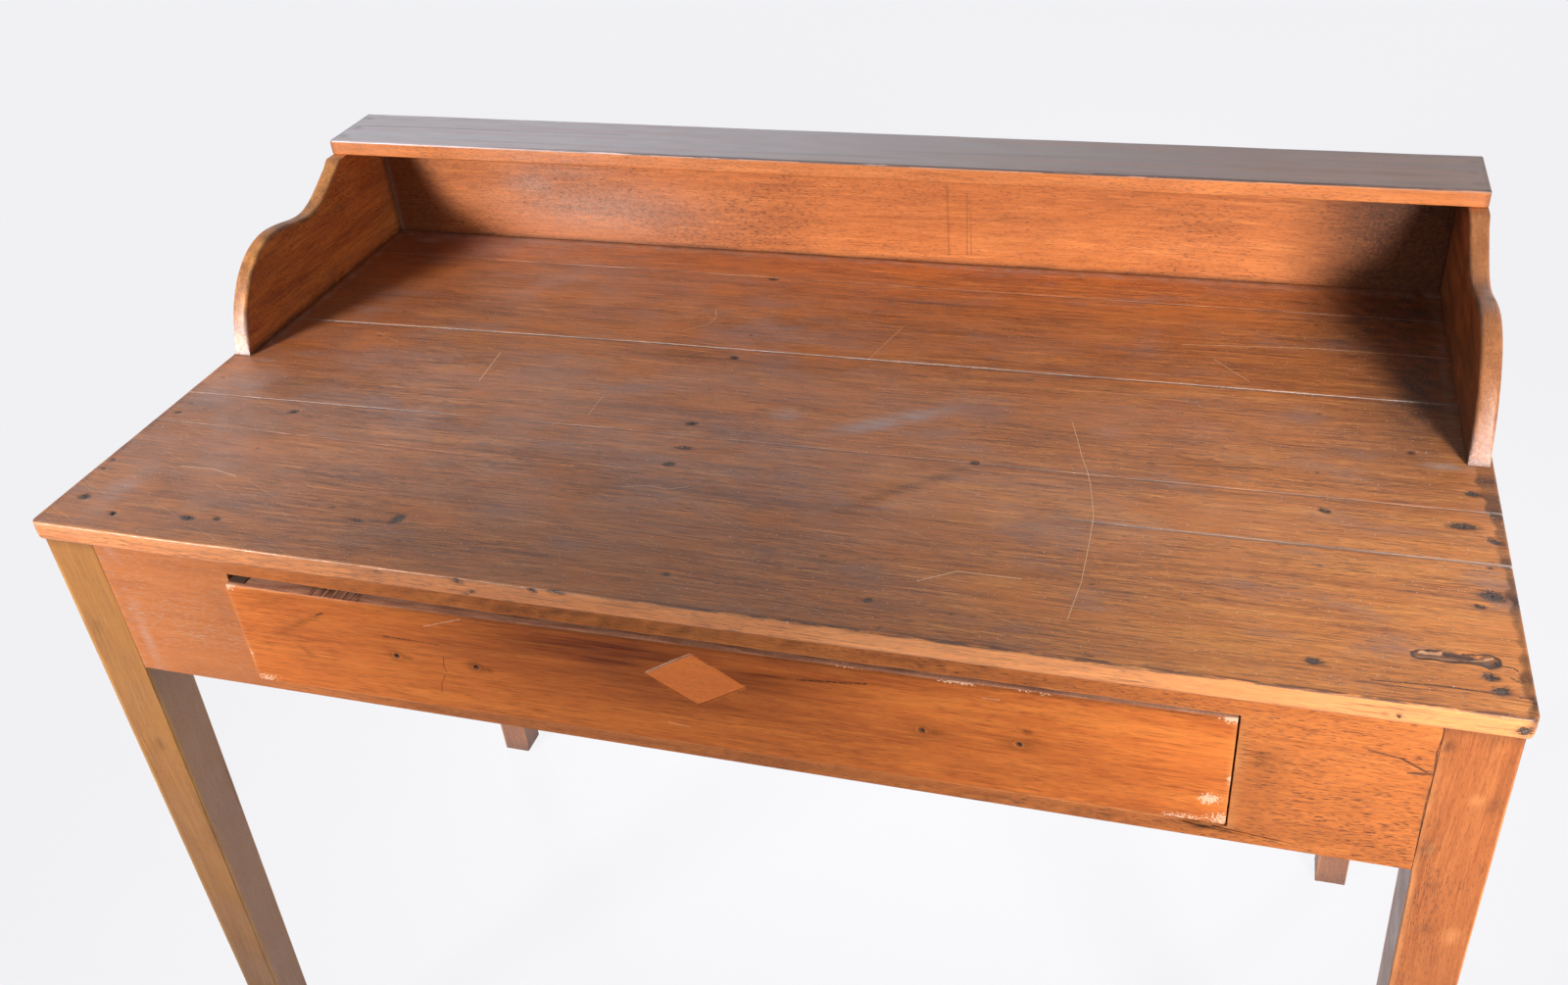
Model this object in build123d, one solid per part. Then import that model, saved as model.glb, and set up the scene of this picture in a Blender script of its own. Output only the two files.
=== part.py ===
"""Country writing and sewing desk: a tapered-leg table, one long drawer, a low three-sided gallery.

Millimetres. +X runs along the desk to the sitter's right, +Y from the sitter to the back, +Z up.
The origin is on the floor, under the middle of the desk's bounding box.
"""
from build123d import *
from math import asin, degrees
import os

# ---- Driving dimensions -------------------------------------------------------------------------

# Table
TOP_LENGTH = 1100.0          # table top, end to end
TOP_DEPTH = 572.0            # table top, front to back
TOP_THICK = 18.0             # planed three-quarter-inch boards
WRITING_HEIGHT = 762.0       # floor to the upper face of the table top (30 in)
TOP_CORNER_R = 6.0           # worn corners of the table top in plan
TOP_UPPER_R = 3.0            # worn upper arris
TOP_LOWER_R = 4.0            # lower arris

FRAME_LENGTH = 1092.0        # outside of leg to outside of leg
FRAME_DEPTH = 556.0          # front face of the front legs to rear face of the back legs
FRONT_OVERHANG = 4.0         # table top past the front apron
LEG_SIZE = 46.0              # square of the leg behind the aprons
FOOT_SIZE = 34.0             # square of the leg on the floor
APRON_HEIGHT = 130.0
APRON_THICK = 20.0           # front and back aprons
SIDE_APRON_THICK = 22.0
TENON_THICK = 8.0
TENON_INSET = 6.0            # apron face to the face of its tenon
TENON_HEIGHT = 110.0
TENON_LENGTH = 28.0

# Table-top boards: where each long joint meets the left end, the knee and the right end, measured
# back from the front edge. The boards were cut tapered, so the joints aren't parallel.
JOINT_KNEE_X = -150.0
BOARD_JOINTS = (
    (157.0, 152.0, 151.5),
    (203.5, 211.5, 213.0),
    (348.5, 357.5, 360.0),
    (501.0, 501.5, 501.0),
)
BOARD_GAP = 0.6              # shrinkage gap left between boards
TONGUE_THICK = 6.0
TONGUE_DEPTH = 6.0
TONGUE_END_STOP = 16.0       # tongue stops short of the end grain

# Battens under the boards, front to back
BATTEN_X = (-425.0, -70.0, 425.0)
BATTEN_WIDTH = 56.0
BATTEN_THICK = 14.0

# Drawer opening in the front apron
OPENING_LEFT = -378.5
OPENING_RIGHT = 381.5
OPENING_BOTTOM = 628.5
OPENING_TOP = 729.5
OPENING_CHIP = 2.0           # the upper edge rises this much towards the left end
OPENING_CHIP_RUN = 180.0     # and is level again this far along

# Drawer, in its own frame: x along the front, y back from the face
DRAWER_WIDTH = 756.0
DRAWER_DEPTH = 440.0
DRAWER_X = 1.5               # middle of the drawer front from the middle of the desk
DRAWER_BOTTOM = 629.5
DRAWER_HEIGHT = 98.0
DRAWER_PROUD_LEFT = 7.5      # the drawer stands open a little, and is racked in its guides
DRAWER_PROUD_RIGHT = 1.0
FRONT_THICK = 20.0
SIDE_THICK = 14.0
BACK_THICK = 12.0
BACK_TOP_DROP = 6.0          # drawer back sits this much below the top of the sides
BACK_SET_IN = 2.0            # drawer back to the rear ends of the sides
DOVETAIL_LAP = 4.0           # wood left in front of the half-blind tails
DOVETAIL_SPREAD = 1.4        # each cheek of a tail spreads this much over its length
TAILS_UP = ((26.0, 43.6), (53.0, 70.6))    # lower and upper cheek of each whole tail at its root
END_TAIL = 18.0              # the half tails at the upper and lower edges
SOCKET_SHRINK = 1.6          # open joint behind each tail, where the front has shrunk
BOTTOM_THICK = 6.0
BOTTOM_UP = 7.5              # underside of the drawer bottom above the lower edge of the sides
GROOVE_DEPTH = 5.0
BOTTOM_FRONT_BOARD = 230.0   # width of the front one of the two bottom boards

# Lozenge let into the drawer front
LOZENGE_X = 4.5
LOZENGE_Z = 695.5
LOZENGE_WIDTH = 76.0
LOZENGE_HEIGHT = 47.6
LOZENGE_THICK = 3.0

# Filled holes of the two lost handles
HANDLE_HOLE_X = (-241.0, -173.3, 170.3, 238.0)
HANDLE_HOLE_Z = 677.5
HANDLE_HOLE_R = 2.6

# Drawer runners, guides and stops
RUNNER_INNER = 350.0
RUNNER_WIDTH = 54.0
RUNNER_TOP = 629.0
GUIDE_INNER = 384.0
GUIDE_HEIGHT = 28.0
RUNNER_TENON_THICK = 7.0
RUNNER_TENON_LENGTH = 5.0
RUNNER_SHOULDER = 6.0        # edge of the runner to the edge of its tenon
STOP_GAP = 3.5               # room left for the drawer to go home
STOP_SIZE = (26.0, 30.0, 20.0)
STOP_SET_IN = 4.0            # inner edge of the runner to the stop

# Gallery
GALLERY_SIDE_THICK = 16.0
GALLERY_HALF = 547.0         # middle of the desk to the outer face of a gallery side
GALLERY_HEIGHT = 111.0       # table top to the underside of the shelf
GALLERY_REAR = 571.0         # front edge of the table top to the rear of the gallery
GALLERY_BACK_THICK = 14.5
SHELF_THICK = 15.0
SHELF_DEPTH = 77.0
SHELF_ARRIS_R = 1.5
# Ogee of a gallery side, from its foot up to the shelf: distance back from the front edge of the
# table top, and height above it
OGEE = (
    (273.0, 0.0),
    (279.0, 24.0),
    (296.0, 55.0),
    (325.0, 80.5),
    (354.0, 88.5),
    (392.0, 83.5),
    (416.0, 81.0),
    (442.0, 89.0),
    (482.0, 111.0),
)
OGEE_START = (0.12, 1.0)     # direction in which the outline leaves the table top
OGEE_END = (0.9, 0.42)       # and in which it meets the shelf

# Cut nails: large ones, and small ones for the drawer and the guides
NAIL_R = 1.5
NAIL_HEAD_R = 3.0
NAIL_HEAD_THICK = 1.6
NAIL_SET = 1.0               # depth the heads are punched below the wood
SMALL_NAIL_R = 1.1
SMALL_NAIL_HEAD_R = 2.2
SMALL_NAIL_HEAD_THICK = 1.0
TOP_NAIL_LENGTH = 42.0
BATTEN_NAIL_LENGTH = 28.0
GALLERY_NAIL_LENGTH = 38.0
GUIDE_NAIL_LENGTH = 38.0
JOINT_NAIL_LENGTH = 24.0
DRAWER_NAIL_LENGTH = 30.0

# Nails through the table top into the frame: x from the middle, y from the front edge. They were
# driven by eye, so they follow no pitch.
TOP_NAILS_LEFT = (
    (-533.0, 34.0),
    (-489.0, 17.0),
    (-538.0, 79.0),
    (-538.0, 92.0),
    (-535.0, 171.0),
    (-532.0, 186.0),
    (-532.0, 233.0),
)
TOP_NAILS_RIGHT = (
    (528.0, 29.0),
    (529.0, 19.0),
    (528.0, 100.0),
    (531.0, 113.0),
    (534.0, 145.0),
    (540.0, 174.0),
    (529.0, 191.0),
    (531.0, 234.0),
)
TOP_NAILS_REAR_Y = (330.0, 385.0, 470.0, 530.0)
TOP_NAIL_REAR_X = 535.0
BATTEN_NAILS_CENTRE_Y = (169.0, 194.0, 231.0, 343.0, 385.0, 480.0, 520.0)
BATTEN_NAILS_SIDE_Y = (28.0, 130.0, 193.0, 245.0, 330.0, 380.0, 480.0, 520.0)

# The other nails, the dowels and the screws
SHELF_NAIL_Y = (508.0, 532.0, 558.0)
SHELF_BACK_NAIL_X = (-400.0, -205.0, 0.0, 195.0, 390.0)
BACK_NAIL_UP = (20.0, 56.0, 92.0)
JOINT_NAIL_X = 506.0
JOINT_NAIL_Z = (636.0, 728.0)
GUIDE_NAIL_Y = (90.0, 280.0, 470.0)
DRAWER_BACK_NAIL_UP = (25.5, 52.5, 79.5)
DRAWER_BOTTOM_NAIL_X = (-300.0, -150.0, 0.0, 150.0, 300.0)
DOWEL_R = 4.0
DOWEL_LENGTH = 28.0
DOWEL_IN_TOP = 11.0
DOWEL_Y = (300.0, 405.0, 550.0)
SCREW_R = 2.0
SCREW_HEAD_R = 4.0
SCREW_HEAD_THICK = 2.4
SCREW_LENGTH = 32.0
SCREW_X = (-460.0, -230.0, 0.0, 230.0, 460.0)
SCREW_Y = 565.0

OVERCUT = 1.0                # a cutting shape runs this far past the face it cuts

# ---- Places worked out from them ----------------------------------------------------------------

APRON_FACE = FRONT_OVERHANG
DRAWER_FACE = APRON_FACE - (DRAWER_PROUD_LEFT + DRAWER_PROUD_RIGHT) / 2
DRAWER_SKEW = degrees(asin((DRAWER_PROUD_LEFT - DRAWER_PROUD_RIGHT) / DRAWER_WIDTH))
DRAWER_NOSE = DRAWER_PROUD_LEFT - FRONT_OVERHANG
MID_Y = (TOP_DEPTH - DRAWER_NOSE) / 2      # middle of the bounding box, from the top's front edge
TOP_UNDER = WRITING_HEIGHT - TOP_THICK
APRON_UNDER = TOP_UNDER - APRON_HEIGHT
FRAME_BACK = APRON_FACE + FRAME_DEPTH
HALF_FRAME = FRAME_LENGTH / 2
LEG_INNER = HALF_FRAME - LEG_SIZE
TENON_UNDER = APRON_UNDER + (APRON_HEIGHT - TENON_HEIGHT) / 2
SHELF_UNDER = WRITING_HEIGHT + GALLERY_HEIGHT
DRAWER_TOP = DRAWER_BOTTOM + DRAWER_HEIGHT
PANEL_UNDER = DRAWER_BOTTOM + BOTTOM_UP
PANEL_TOP = PANEL_UNDER + BOTTOM_THICK
BATTEN_UNDER = TOP_UNDER - BATTEN_THICK
SIDES = (("left", -1), ("right", 1))
LARGE_NAIL = (NAIL_R, NAIL_HEAD_R, NAIL_HEAD_THICK)
SMALL_NAIL = (SMALL_NAIL_R, SMALL_NAIL_HEAD_R, SMALL_NAIL_HEAD_THICK)
SCREW = (SCREW_R, SCREW_HEAD_R, SCREW_HEAD_THICK)


# ---- Helpers ------------------------------------------------------------------------------------

def block(x, y, z):
    """Box between two limits on each axis."""
    size = [abs(high - low) for low, high in (x, y, z)]
    middle = [(low + high) / 2 for low, high in (x, y, z)]
    return Pos(*middle) * Box(*size)


def prism(points, normal, low, high):
    """Closed outline of points pulled along the normal axis, from low to high."""
    planes = {"x": Plane.YZ.offset(low), "y": Plane.XZ.offset(-high), "z": Plane.XY.offset(low)}
    face = make_face(Polyline(*points, close=True))
    return planes[normal] * extrude(face, high - low, dir=(0, 0, 1))


def rod(start, direction, radius, length):
    """Round rod from a start point along a direction."""
    return Plane(origin=start, z_dir=direction) * Cylinder(
        radius, length, align=(Align.CENTER, Align.CENTER, Align.MIN))


def pin(head_point, direction, length, sizes):
    """Nail or screw of (shank radius, head radius, head thickness), its head's face at head_point."""
    shank_r, head_r, head_thick = sizes
    return rod(head_point, direction, head_r, head_thick) + rod(head_point, direction, shank_r, length)


def set_nail(surface_point, direction, length, sizes=LARGE_NAIL):
    """Nail punched NAIL_SET below a surface, and the hole that it and its punch mark fill."""
    start = Vector(*surface_point) + Vector(*direction) * NAIL_SET
    body = pin(tuple(start), direction, length, sizes)
    mouth = rod(surface_point, direction, sizes[1], NAIL_SET)
    return body, body + mouth


def only_solid(shape):
    """The one solid that a boolean result holds."""
    solids = shape.solids()
    return solids[0] if len(solids) == 1 else shape


def group(shapes):
    """Several separate solids kept together as one node."""
    return Compound([solid for shape in shapes for solid in shape.solids()])


# ---- Table --------------------------------------------------------------------------------------

def apron_tenon(along, side, end):
    """Tenon at one end of an apron. side picks the apron, end picks which of its ends."""
    low = TENON_UNDER
    high = low + TENON_HEIGHT
    if along == "x":
        face = APRON_FACE + TENON_INSET if side < 0 else FRAME_BACK - TENON_INSET - TENON_THICK
        run = (end * LEG_INNER, end * (LEG_INNER + TENON_LENGTH))
        return block(run, (face, face + TENON_THICK), (low, high))
    face = HALF_FRAME - TENON_INSET
    start = APRON_FACE + LEG_SIZE if end < 0 else FRAME_BACK - LEG_SIZE
    across = (side * (face - TENON_THICK), side * face)
    return block(across, (start, start + end * TENON_LENGTH), (low, high))


def runner_tenon(side, end):
    """Stub tenon that lets a drawer runner into the front or back apron."""
    middle = APRON_UNDER + (OPENING_BOTTOM - APRON_UNDER) / 2
    start = APRON_FACE + APRON_THICK if end < 0 else FRAME_BACK - APRON_THICK
    inner = side * (RUNNER_INNER + RUNNER_SHOULDER)
    outer = side * (RUNNER_INNER + RUNNER_WIDTH - RUNNER_SHOULDER)
    height = (middle - RUNNER_TENON_THICK / 2, middle + RUNNER_TENON_THICK / 2)
    return block((inner, outer), (start, start + end * RUNNER_TENON_LENGTH), height)


def long_apron(side):
    """Front or back apron with its two tenons and the mortises for the drawer runners."""
    start = APRON_FACE if side < 0 else FRAME_BACK - APRON_THICK
    apron = block((-LEG_INNER, LEG_INNER), (start, start + APRON_THICK), (APRON_UNDER, TOP_UNDER))
    for end in (-1, 1):
        apron += apron_tenon("x", side, end)
    for _, runner_side in SIDES:
        apron -= runner_tenon(runner_side, side)
    return apron


def front_apron():
    """Front apron: one board, cut out for the drawer. The opening's upper left corner is chipped."""
    outline = (
        (OPENING_LEFT, OPENING_BOTTOM),
        (OPENING_RIGHT, OPENING_BOTTOM),
        (OPENING_RIGHT, OPENING_TOP),
        (OPENING_LEFT + OPENING_CHIP_RUN, OPENING_TOP),
        (OPENING_LEFT, OPENING_TOP + OPENING_CHIP),
    )
    return long_apron(-1) - prism(outline, "y", 0, APRON_FACE + APRON_THICK + OVERCUT)


def side_apron(side):
    """Side apron with its two tenons, flush with the outer faces of the legs."""
    span = (APRON_FACE + LEG_SIZE, FRAME_BACK - LEG_SIZE)
    across = (side * (HALF_FRAME - SIDE_APRON_THICK), side * HALF_FRAME)
    apron = block(across, span, (APRON_UNDER, TOP_UNDER))
    for end in (-1, 1):
        apron += apron_tenon("y", side, end)
    return apron


def leg(side, end):
    """Leg with two straight outer faces. Its inner faces taper from the aprons to the floor."""
    outer_x = side * HALF_FRAME
    outer_y = APRON_FACE if end < 0 else FRAME_BACK
    profile = ((0, 0), (FOOT_SIZE, 0), (LEG_SIZE, APRON_UNDER), (LEG_SIZE, TOP_UNDER), (0, TOP_UNDER))
    front_view = [(outer_x - side * inward, z) for inward, z in profile]
    side_view = [(outer_y - end * inward, z) for inward, z in profile]
    shape = prism(front_view, "y", 0, TOP_DEPTH) & prism(side_view, "x", -TOP_LENGTH, TOP_LENGTH)
    return shape - apron_tenon("x", end, side) - apron_tenon("y", side, end)


def joint_line(joint, shift=0.0):
    """Plan points of a joint between two top boards, from left to right."""
    reach = TOP_LENGTH / 2
    return [(x, y + shift) for x, y in zip((-reach, JOINT_KNEE_X, reach), joint)]


def tongue(joint):
    """Tongue along the back edge of the board in front of a joint."""
    reach = TOP_LENGTH / 2 - TONGUE_END_STOP
    middle = TOP_UNDER + TOP_THICK / 2
    outline = joint_line(joint, -OVERCUT) + joint_line(joint, TONGUE_DEPTH)[::-1]
    strip = prism(outline, "z", middle - TONGUE_THICK / 2, middle + TONGUE_THICK / 2)
    return strip & block((-reach, reach), (0, TOP_DEPTH), (TOP_UNDER, WRITING_HEIGHT))


def top_slab():
    """Whole table top before it is parted into boards, with worn arrises."""
    half = TOP_LENGTH / 2
    slab = block((-half, half), (0, TOP_DEPTH), (TOP_UNDER, WRITING_HEIGHT))
    slab = fillet(slab.edges().filter_by(Axis.Z), TOP_CORNER_R)
    slab = fillet(slab.faces().sort_by(Axis.Z)[-1].edges(), TOP_UPPER_R)
    return fillet(slab.faces().sort_by(Axis.Z)[0].edges(), TOP_LOWER_R)


def top_boards():
    """Boards of the table top, front to back, tongued into each other along tapered joints."""
    slab = top_slab()
    front_edge = [(-TOP_LENGTH, -OVERCUT), (TOP_LENGTH, -OVERCUT)]
    back_edge = [(-TOP_LENGTH, TOP_DEPTH + OVERCUT), (TOP_LENGTH, TOP_DEPTH + OVERCUT)]
    boards = []
    for index in range(len(BOARD_JOINTS) + 1):
        first = front_edge
        last = back_edge
        if index > 0:
            first = joint_line(BOARD_JOINTS[index - 1], BOARD_GAP)
        if index < len(BOARD_JOINTS):
            last = joint_line(BOARD_JOINTS[index])
        board = slab & prism(first + last[::-1], "z", 0, 2 * WRITING_HEIGHT)
        if index > 0:
            board -= tongue(BOARD_JOINTS[index - 1])
        if index < len(BOARD_JOINTS):
            board += tongue(BOARD_JOINTS[index])
        boards.append(board)
    return boards


def batten(x):
    """Batten under the top boards, between the front and back aprons."""
    half = BATTEN_WIDTH / 2
    span = (APRON_FACE + APRON_THICK, FRAME_BACK - APRON_THICK)
    return block((x - half, x + half), span, (BATTEN_UNDER, TOP_UNDER))


def runner(side):
    """Drawer runner, let into the front and back aprons."""
    span = (APRON_FACE + APRON_THICK, FRAME_BACK - APRON_THICK)
    across = (side * RUNNER_INNER, side * (RUNNER_INNER + RUNNER_WIDTH))
    shape = block(across, span, (APRON_UNDER, RUNNER_TOP))
    for end in (-1, 1):
        shape += runner_tenon(side, end)
    return shape


def guide(side):
    """Strip on a runner that keeps the drawer from going sideways."""
    span = (APRON_FACE + APRON_THICK, FRAME_BACK - APRON_THICK)
    across = (side * GUIDE_INNER, side * (RUNNER_INNER + RUNNER_WIDTH))
    return block(across, span, (RUNNER_TOP, RUNNER_TOP + GUIDE_HEIGHT))


def stop_block(side):
    """Block on a runner that stops the drawer when it is home."""
    wide, deep, high = STOP_SIZE
    rear = DRAWER_FACE + DRAWER_DEPTH + (DRAWER_PROUD_LEFT - DRAWER_PROUD_RIGHT) / 2
    start = rear + STOP_GAP
    inner = side * (RUNNER_INNER + STOP_SET_IN)
    return block((inner, inner + side * wide), (start, start + deep), (RUNNER_TOP, RUNNER_TOP + high))


# ---- Gallery ------------------------------------------------------------------------------------

def gallery_side(side):
    """Gallery side board with an ogee front."""
    curve = Spline(*OGEE, tangents=(OGEE_START, OGEE_END))
    straight = Polyline(OGEE[-1], (GALLERY_REAR, GALLERY_HEIGHT), (GALLERY_REAR, 0.0), OGEE[0])
    outer = side * GALLERY_HALF
    inner = side * (GALLERY_HALF - GALLERY_SIDE_THICK)
    start, stop = sorted((outer, inner))
    board = extrude(make_face([curve, straight]), stop - start, dir=(0, 0, 1))
    return Plane.YZ.offset(start) * Pos(0, WRITING_HEIGHT, 0) * board


def gallery_back():
    """Gallery back board, between the two sides."""
    half = GALLERY_HALF - GALLERY_SIDE_THICK
    span = (GALLERY_REAR - GALLERY_BACK_THICK, GALLERY_REAR)
    return block((-half, half), span, (WRITING_HEIGHT, SHELF_UNDER))


def gallery_shelf():
    """Narrow shelf nailed down on the gallery's sides and back."""
    span = (GALLERY_REAR - SHELF_DEPTH, GALLERY_REAR)
    shelf = block((-GALLERY_HALF, GALLERY_HALF), span, (SHELF_UNDER, SHELF_UNDER + SHELF_THICK))
    return fillet(shelf.faces().sort_by(Axis.Z)[-1].edges(), SHELF_ARRIS_R)


# ---- Drawer, in its own frame -------------------------------------------------------------------

def tails(side, thick):
    """Half-blind tails at the front end of a drawer side, this thick."""
    outer = side * DRAWER_WIDTH / 2
    across = sorted((outer, outer - side * thick))
    cheeks = ((0.0, END_TAIL), *TAILS_UP, (DRAWER_HEIGHT - END_TAIL, DRAWER_HEIGHT))
    shapes = []
    for low, high in cheeks:
        spread_low = max(low - DOVETAIL_SPREAD, 0.0)
        spread_high = min(high + DOVETAIL_SPREAD, DRAWER_HEIGHT)
        outline = (
            (FRONT_THICK, DRAWER_BOTTOM + low),
            (DOVETAIL_LAP, DRAWER_BOTTOM + spread_low),
            (DOVETAIL_LAP, DRAWER_BOTTOM + spread_high),
            (FRONT_THICK, DRAWER_BOTTOM + high),
        )
        shapes.append(prism(outline, "x", *across))
    return shapes


def lozenge():
    """Diamond-shaped plate let flush into the drawer front."""
    outline = (
        (LOZENGE_X - LOZENGE_WIDTH / 2, LOZENGE_Z),
        (LOZENGE_X, LOZENGE_Z - LOZENGE_HEIGHT / 2),
        (LOZENGE_X + LOZENGE_WIDTH / 2, LOZENGE_Z),
        (LOZENGE_X, LOZENGE_Z + LOZENGE_HEIGHT / 2),
    )
    return prism(outline, "y", 0, LOZENGE_THICK)


def handle_plugs():
    """Filler in the four holes of the lost handles."""
    return [rod((x, 0, HANDLE_HOLE_Z), (0, 1, 0), HANDLE_HOLE_R, FRONT_THICK) for x in HANDLE_HOLE_X]


def bottom_panel():
    """Whole drawer bottom, as it sits in the grooves of the sides and the front."""
    half = DRAWER_WIDTH / 2 - SIDE_THICK + GROOVE_DEPTH
    span = (FRONT_THICK - GROOVE_DEPTH, DRAWER_DEPTH - BACK_SET_IN)
    return block((-half, half), span, (PANEL_UNDER, PANEL_TOP))


def drawer_front():
    """Drawer front with dovetail sockets, the groove for the bottom, the lozenge's bed and the holes."""
    half = DRAWER_WIDTH / 2
    front = block((-half, half), (0, FRONT_THICK), (DRAWER_BOTTOM, DRAWER_TOP))
    for _, side in SIDES:
        for tail in tails(side, SIDE_THICK + SOCKET_SHRINK):
            front -= tail
    for tool in (bottom_panel(), lozenge(), *handle_plugs()):
        front -= tool
    return front


def drawer_side(side):
    """Drawer side with tails at the front and a groove for the bottom."""
    outer = side * DRAWER_WIDTH / 2
    across = (outer, outer - side * SIDE_THICK)
    board = block(across, (FRONT_THICK, DRAWER_DEPTH), (DRAWER_BOTTOM, DRAWER_TOP))
    for tail in tails(side, SIDE_THICK):
        board += tail
    groove_floor = outer - side * (SIDE_THICK - GROOVE_DEPTH)
    return board - block((groove_floor, 0), (0, DRAWER_DEPTH + OVERCUT), (PANEL_UNDER, PANEL_TOP))


def drawer_back():
    """Drawer back, standing on the bottom between the sides."""
    half = DRAWER_WIDTH / 2 - SIDE_THICK
    rear = DRAWER_DEPTH - BACK_SET_IN
    return block((-half, half), (rear - BACK_THICK, rear), (PANEL_TOP, DRAWER_TOP - BACK_TOP_DROP))


def drawer_parts():
    """Every piece of the drawer, in the drawer's own frame."""
    panel = bottom_panel()
    seam = FRONT_THICK - GROOVE_DEPTH + BOTTOM_FRONT_BOARD
    everywhere = (-DRAWER_WIDTH, DRAWER_WIDTH)
    parts = {
        "drawer_front": drawer_front(),
        "drawer_side_left": drawer_side(-1),
        "drawer_side_right": drawer_side(1),
        "drawer_back": drawer_back(),
        "drawer_bottom_front_board": panel & block(everywhere, (0, seam), (0, WRITING_HEIGHT)),
        "drawer_bottom_rear_board": panel & block(everywhere, (seam, DRAWER_DEPTH), (0, WRITING_HEIGHT)),
        "drawer_lozenge_inlay": lozenge(),
        "handle_hole_plugs": group(handle_plugs()),
    }
    rear = DRAWER_DEPTH - BACK_SET_IN - BACK_THICK / 2
    back_nails = []
    for name, side in SIDES:
        for up in DRAWER_BACK_NAIL_UP:
            start = (side * DRAWER_WIDTH / 2, rear, DRAWER_BOTTOM + up)
            body, hole = set_nail(start, (-side, 0, 0), DRAWER_NAIL_LENGTH, SMALL_NAIL)
            back_nails.append(body)
            for node in ("drawer_side_" + name, "drawer_back"):
                parts[node] -= hole
    parts["drawer_back_nails"] = group(back_nails)
    bottom_nails = [pin((x, rear, PANEL_UNDER), (0, 0, 1), DRAWER_NAIL_LENGTH, SMALL_NAIL)
                    for x in DRAWER_BOTTOM_NAIL_X]
    for body in bottom_nails:
        for node in ("drawer_bottom_rear_board", "drawer_back"):
            parts[node] -= body
    parts["drawer_bottom_nails"] = group(bottom_nails)
    return parts


# ---- Nails, dowels and screws of the frame ------------------------------------------------------

def top_fasteners():
    """Nails down through the table top: name to a list of (solid, hole)."""
    down = (0, 0, -1)
    frame_places = list(TOP_NAILS_LEFT + TOP_NAILS_RIGHT)
    frame_places += [(side * TOP_NAIL_REAR_X, y) for _, side in SIDES for y in TOP_NAILS_REAR_Y]
    left_batten, centre_batten, right_batten = BATTEN_X
    batten_places = [(centre_batten, y) for y in BATTEN_NAILS_CENTRE_Y]
    batten_places += [(x, y) for x in (left_batten, right_batten) for y in BATTEN_NAILS_SIDE_Y]
    groups = {}
    for node, places, length in (("top_nails", frame_places, TOP_NAIL_LENGTH),
                                 ("batten_nails", batten_places, BATTEN_NAIL_LENGTH)):
        groups[node] = [set_nail((x, y, WRITING_HEIGHT), down, length) for x, y in places]
    return groups


def frame_fasteners():
    """Nails in the frame's own joints: name to a list of (solid, hole)."""
    joint_nails = [set_nail((JOINT_NAIL_X, APRON_FACE, z), (0, 1, 0), JOINT_NAIL_LENGTH, SMALL_NAIL)
                   for z in JOINT_NAIL_Z]
    guide_nails = []
    for _, side in SIDES:
        x = side * (GUIDE_INNER + RUNNER_INNER + RUNNER_WIDTH) / 2
        for y in GUIDE_NAIL_Y:
            start = (x, y, RUNNER_TOP + GUIDE_HEIGHT)
            guide_nails.append(set_nail(start, (0, 0, -1), GUIDE_NAIL_LENGTH, SMALL_NAIL))
    return {"apron_joint_nails": joint_nails, "guide_nails": guide_nails}


def gallery_fasteners():
    """Nails, dowels and screws of the gallery: name to a list of (solid, hole)."""
    side_middle = GALLERY_HALF - GALLERY_SIDE_THICK / 2
    back_middle = GALLERY_REAR - GALLERY_BACK_THICK / 2
    shelf_places = [(side * side_middle, y) for _, side in SIDES for y in SHELF_NAIL_Y]
    shelf_places += [(x, back_middle) for x in SHELF_BACK_NAIL_X]
    shelf_nails = [set_nail((x, y, SHELF_UNDER + SHELF_THICK), (0, 0, -1), GALLERY_NAIL_LENGTH)
                   for x, y in shelf_places]
    back_nails = []
    dowels = []
    for _, side in SIDES:
        for up in BACK_NAIL_UP:
            start = (side * GALLERY_HALF, back_middle, WRITING_HEIGHT + up)
            back_nails.append(set_nail(start, (-side, 0, 0), GALLERY_NAIL_LENGTH))
        for y in DOWEL_Y:
            start = (side * side_middle, y, WRITING_HEIGHT - DOWEL_IN_TOP)
            dowels.append(rod(start, (0, 0, 1), DOWEL_R, DOWEL_LENGTH))
    screws = [pin((x, SCREW_Y, TOP_UNDER), (0, 0, 1), SCREW_LENGTH, SCREW) for x in SCREW_X]
    return {
        "shelf_nails": shelf_nails,
        "gallery_back_nails": back_nails,
        "gallery_dowels": [(dowel, dowel) for dowel in dowels],
        "gallery_screws": [(screw, screw) for screw in screws],
    }


# ---- Assembly -----------------------------------------------------------------------------------

def fixed_parts():
    """Every piece that doesn't move, with the holes of its fasteners cut."""
    parts = {"apron_front": front_apron(), "apron_back": long_apron(1)}
    for name, side in SIDES:
        parts["leg_front_" + name] = leg(side, -1)
        parts["leg_back_" + name] = leg(side, 1)
        parts["apron_" + name] = side_apron(side)
        parts["drawer_runner_" + name] = runner(side)
        parts["drawer_guide_" + name] = guide(side)
        parts["gallery_side_" + name] = gallery_side(side)
    for number, board in enumerate(top_boards(), start=1):
        parts["top_board_" + str(number)] = board
    for name, x in zip(("left", "centre", "right"), BATTEN_X):
        parts["top_batten_" + name] = batten(x)
    parts["gallery_back"] = gallery_back()
    parts["gallery_shelf"] = gallery_shelf()
    boxes = {node: shape.bounding_box() for node, shape in parts.items()}
    fasteners = {}
    for node, pieces in (top_fasteners() | frame_fasteners() | gallery_fasteners()).items():
        fasteners[node] = group([solid for solid, _ in pieces])
        for _, hole in pieces:
            reach = hole.bounding_box()
            for host, box in boxes.items():
                if boxes_meet(reach, box):
                    parts[host] -= hole
    parts["drawer_stops"] = group([stop_block(side) for _, side in SIDES])
    parts.update(fasteners)
    return parts


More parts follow.
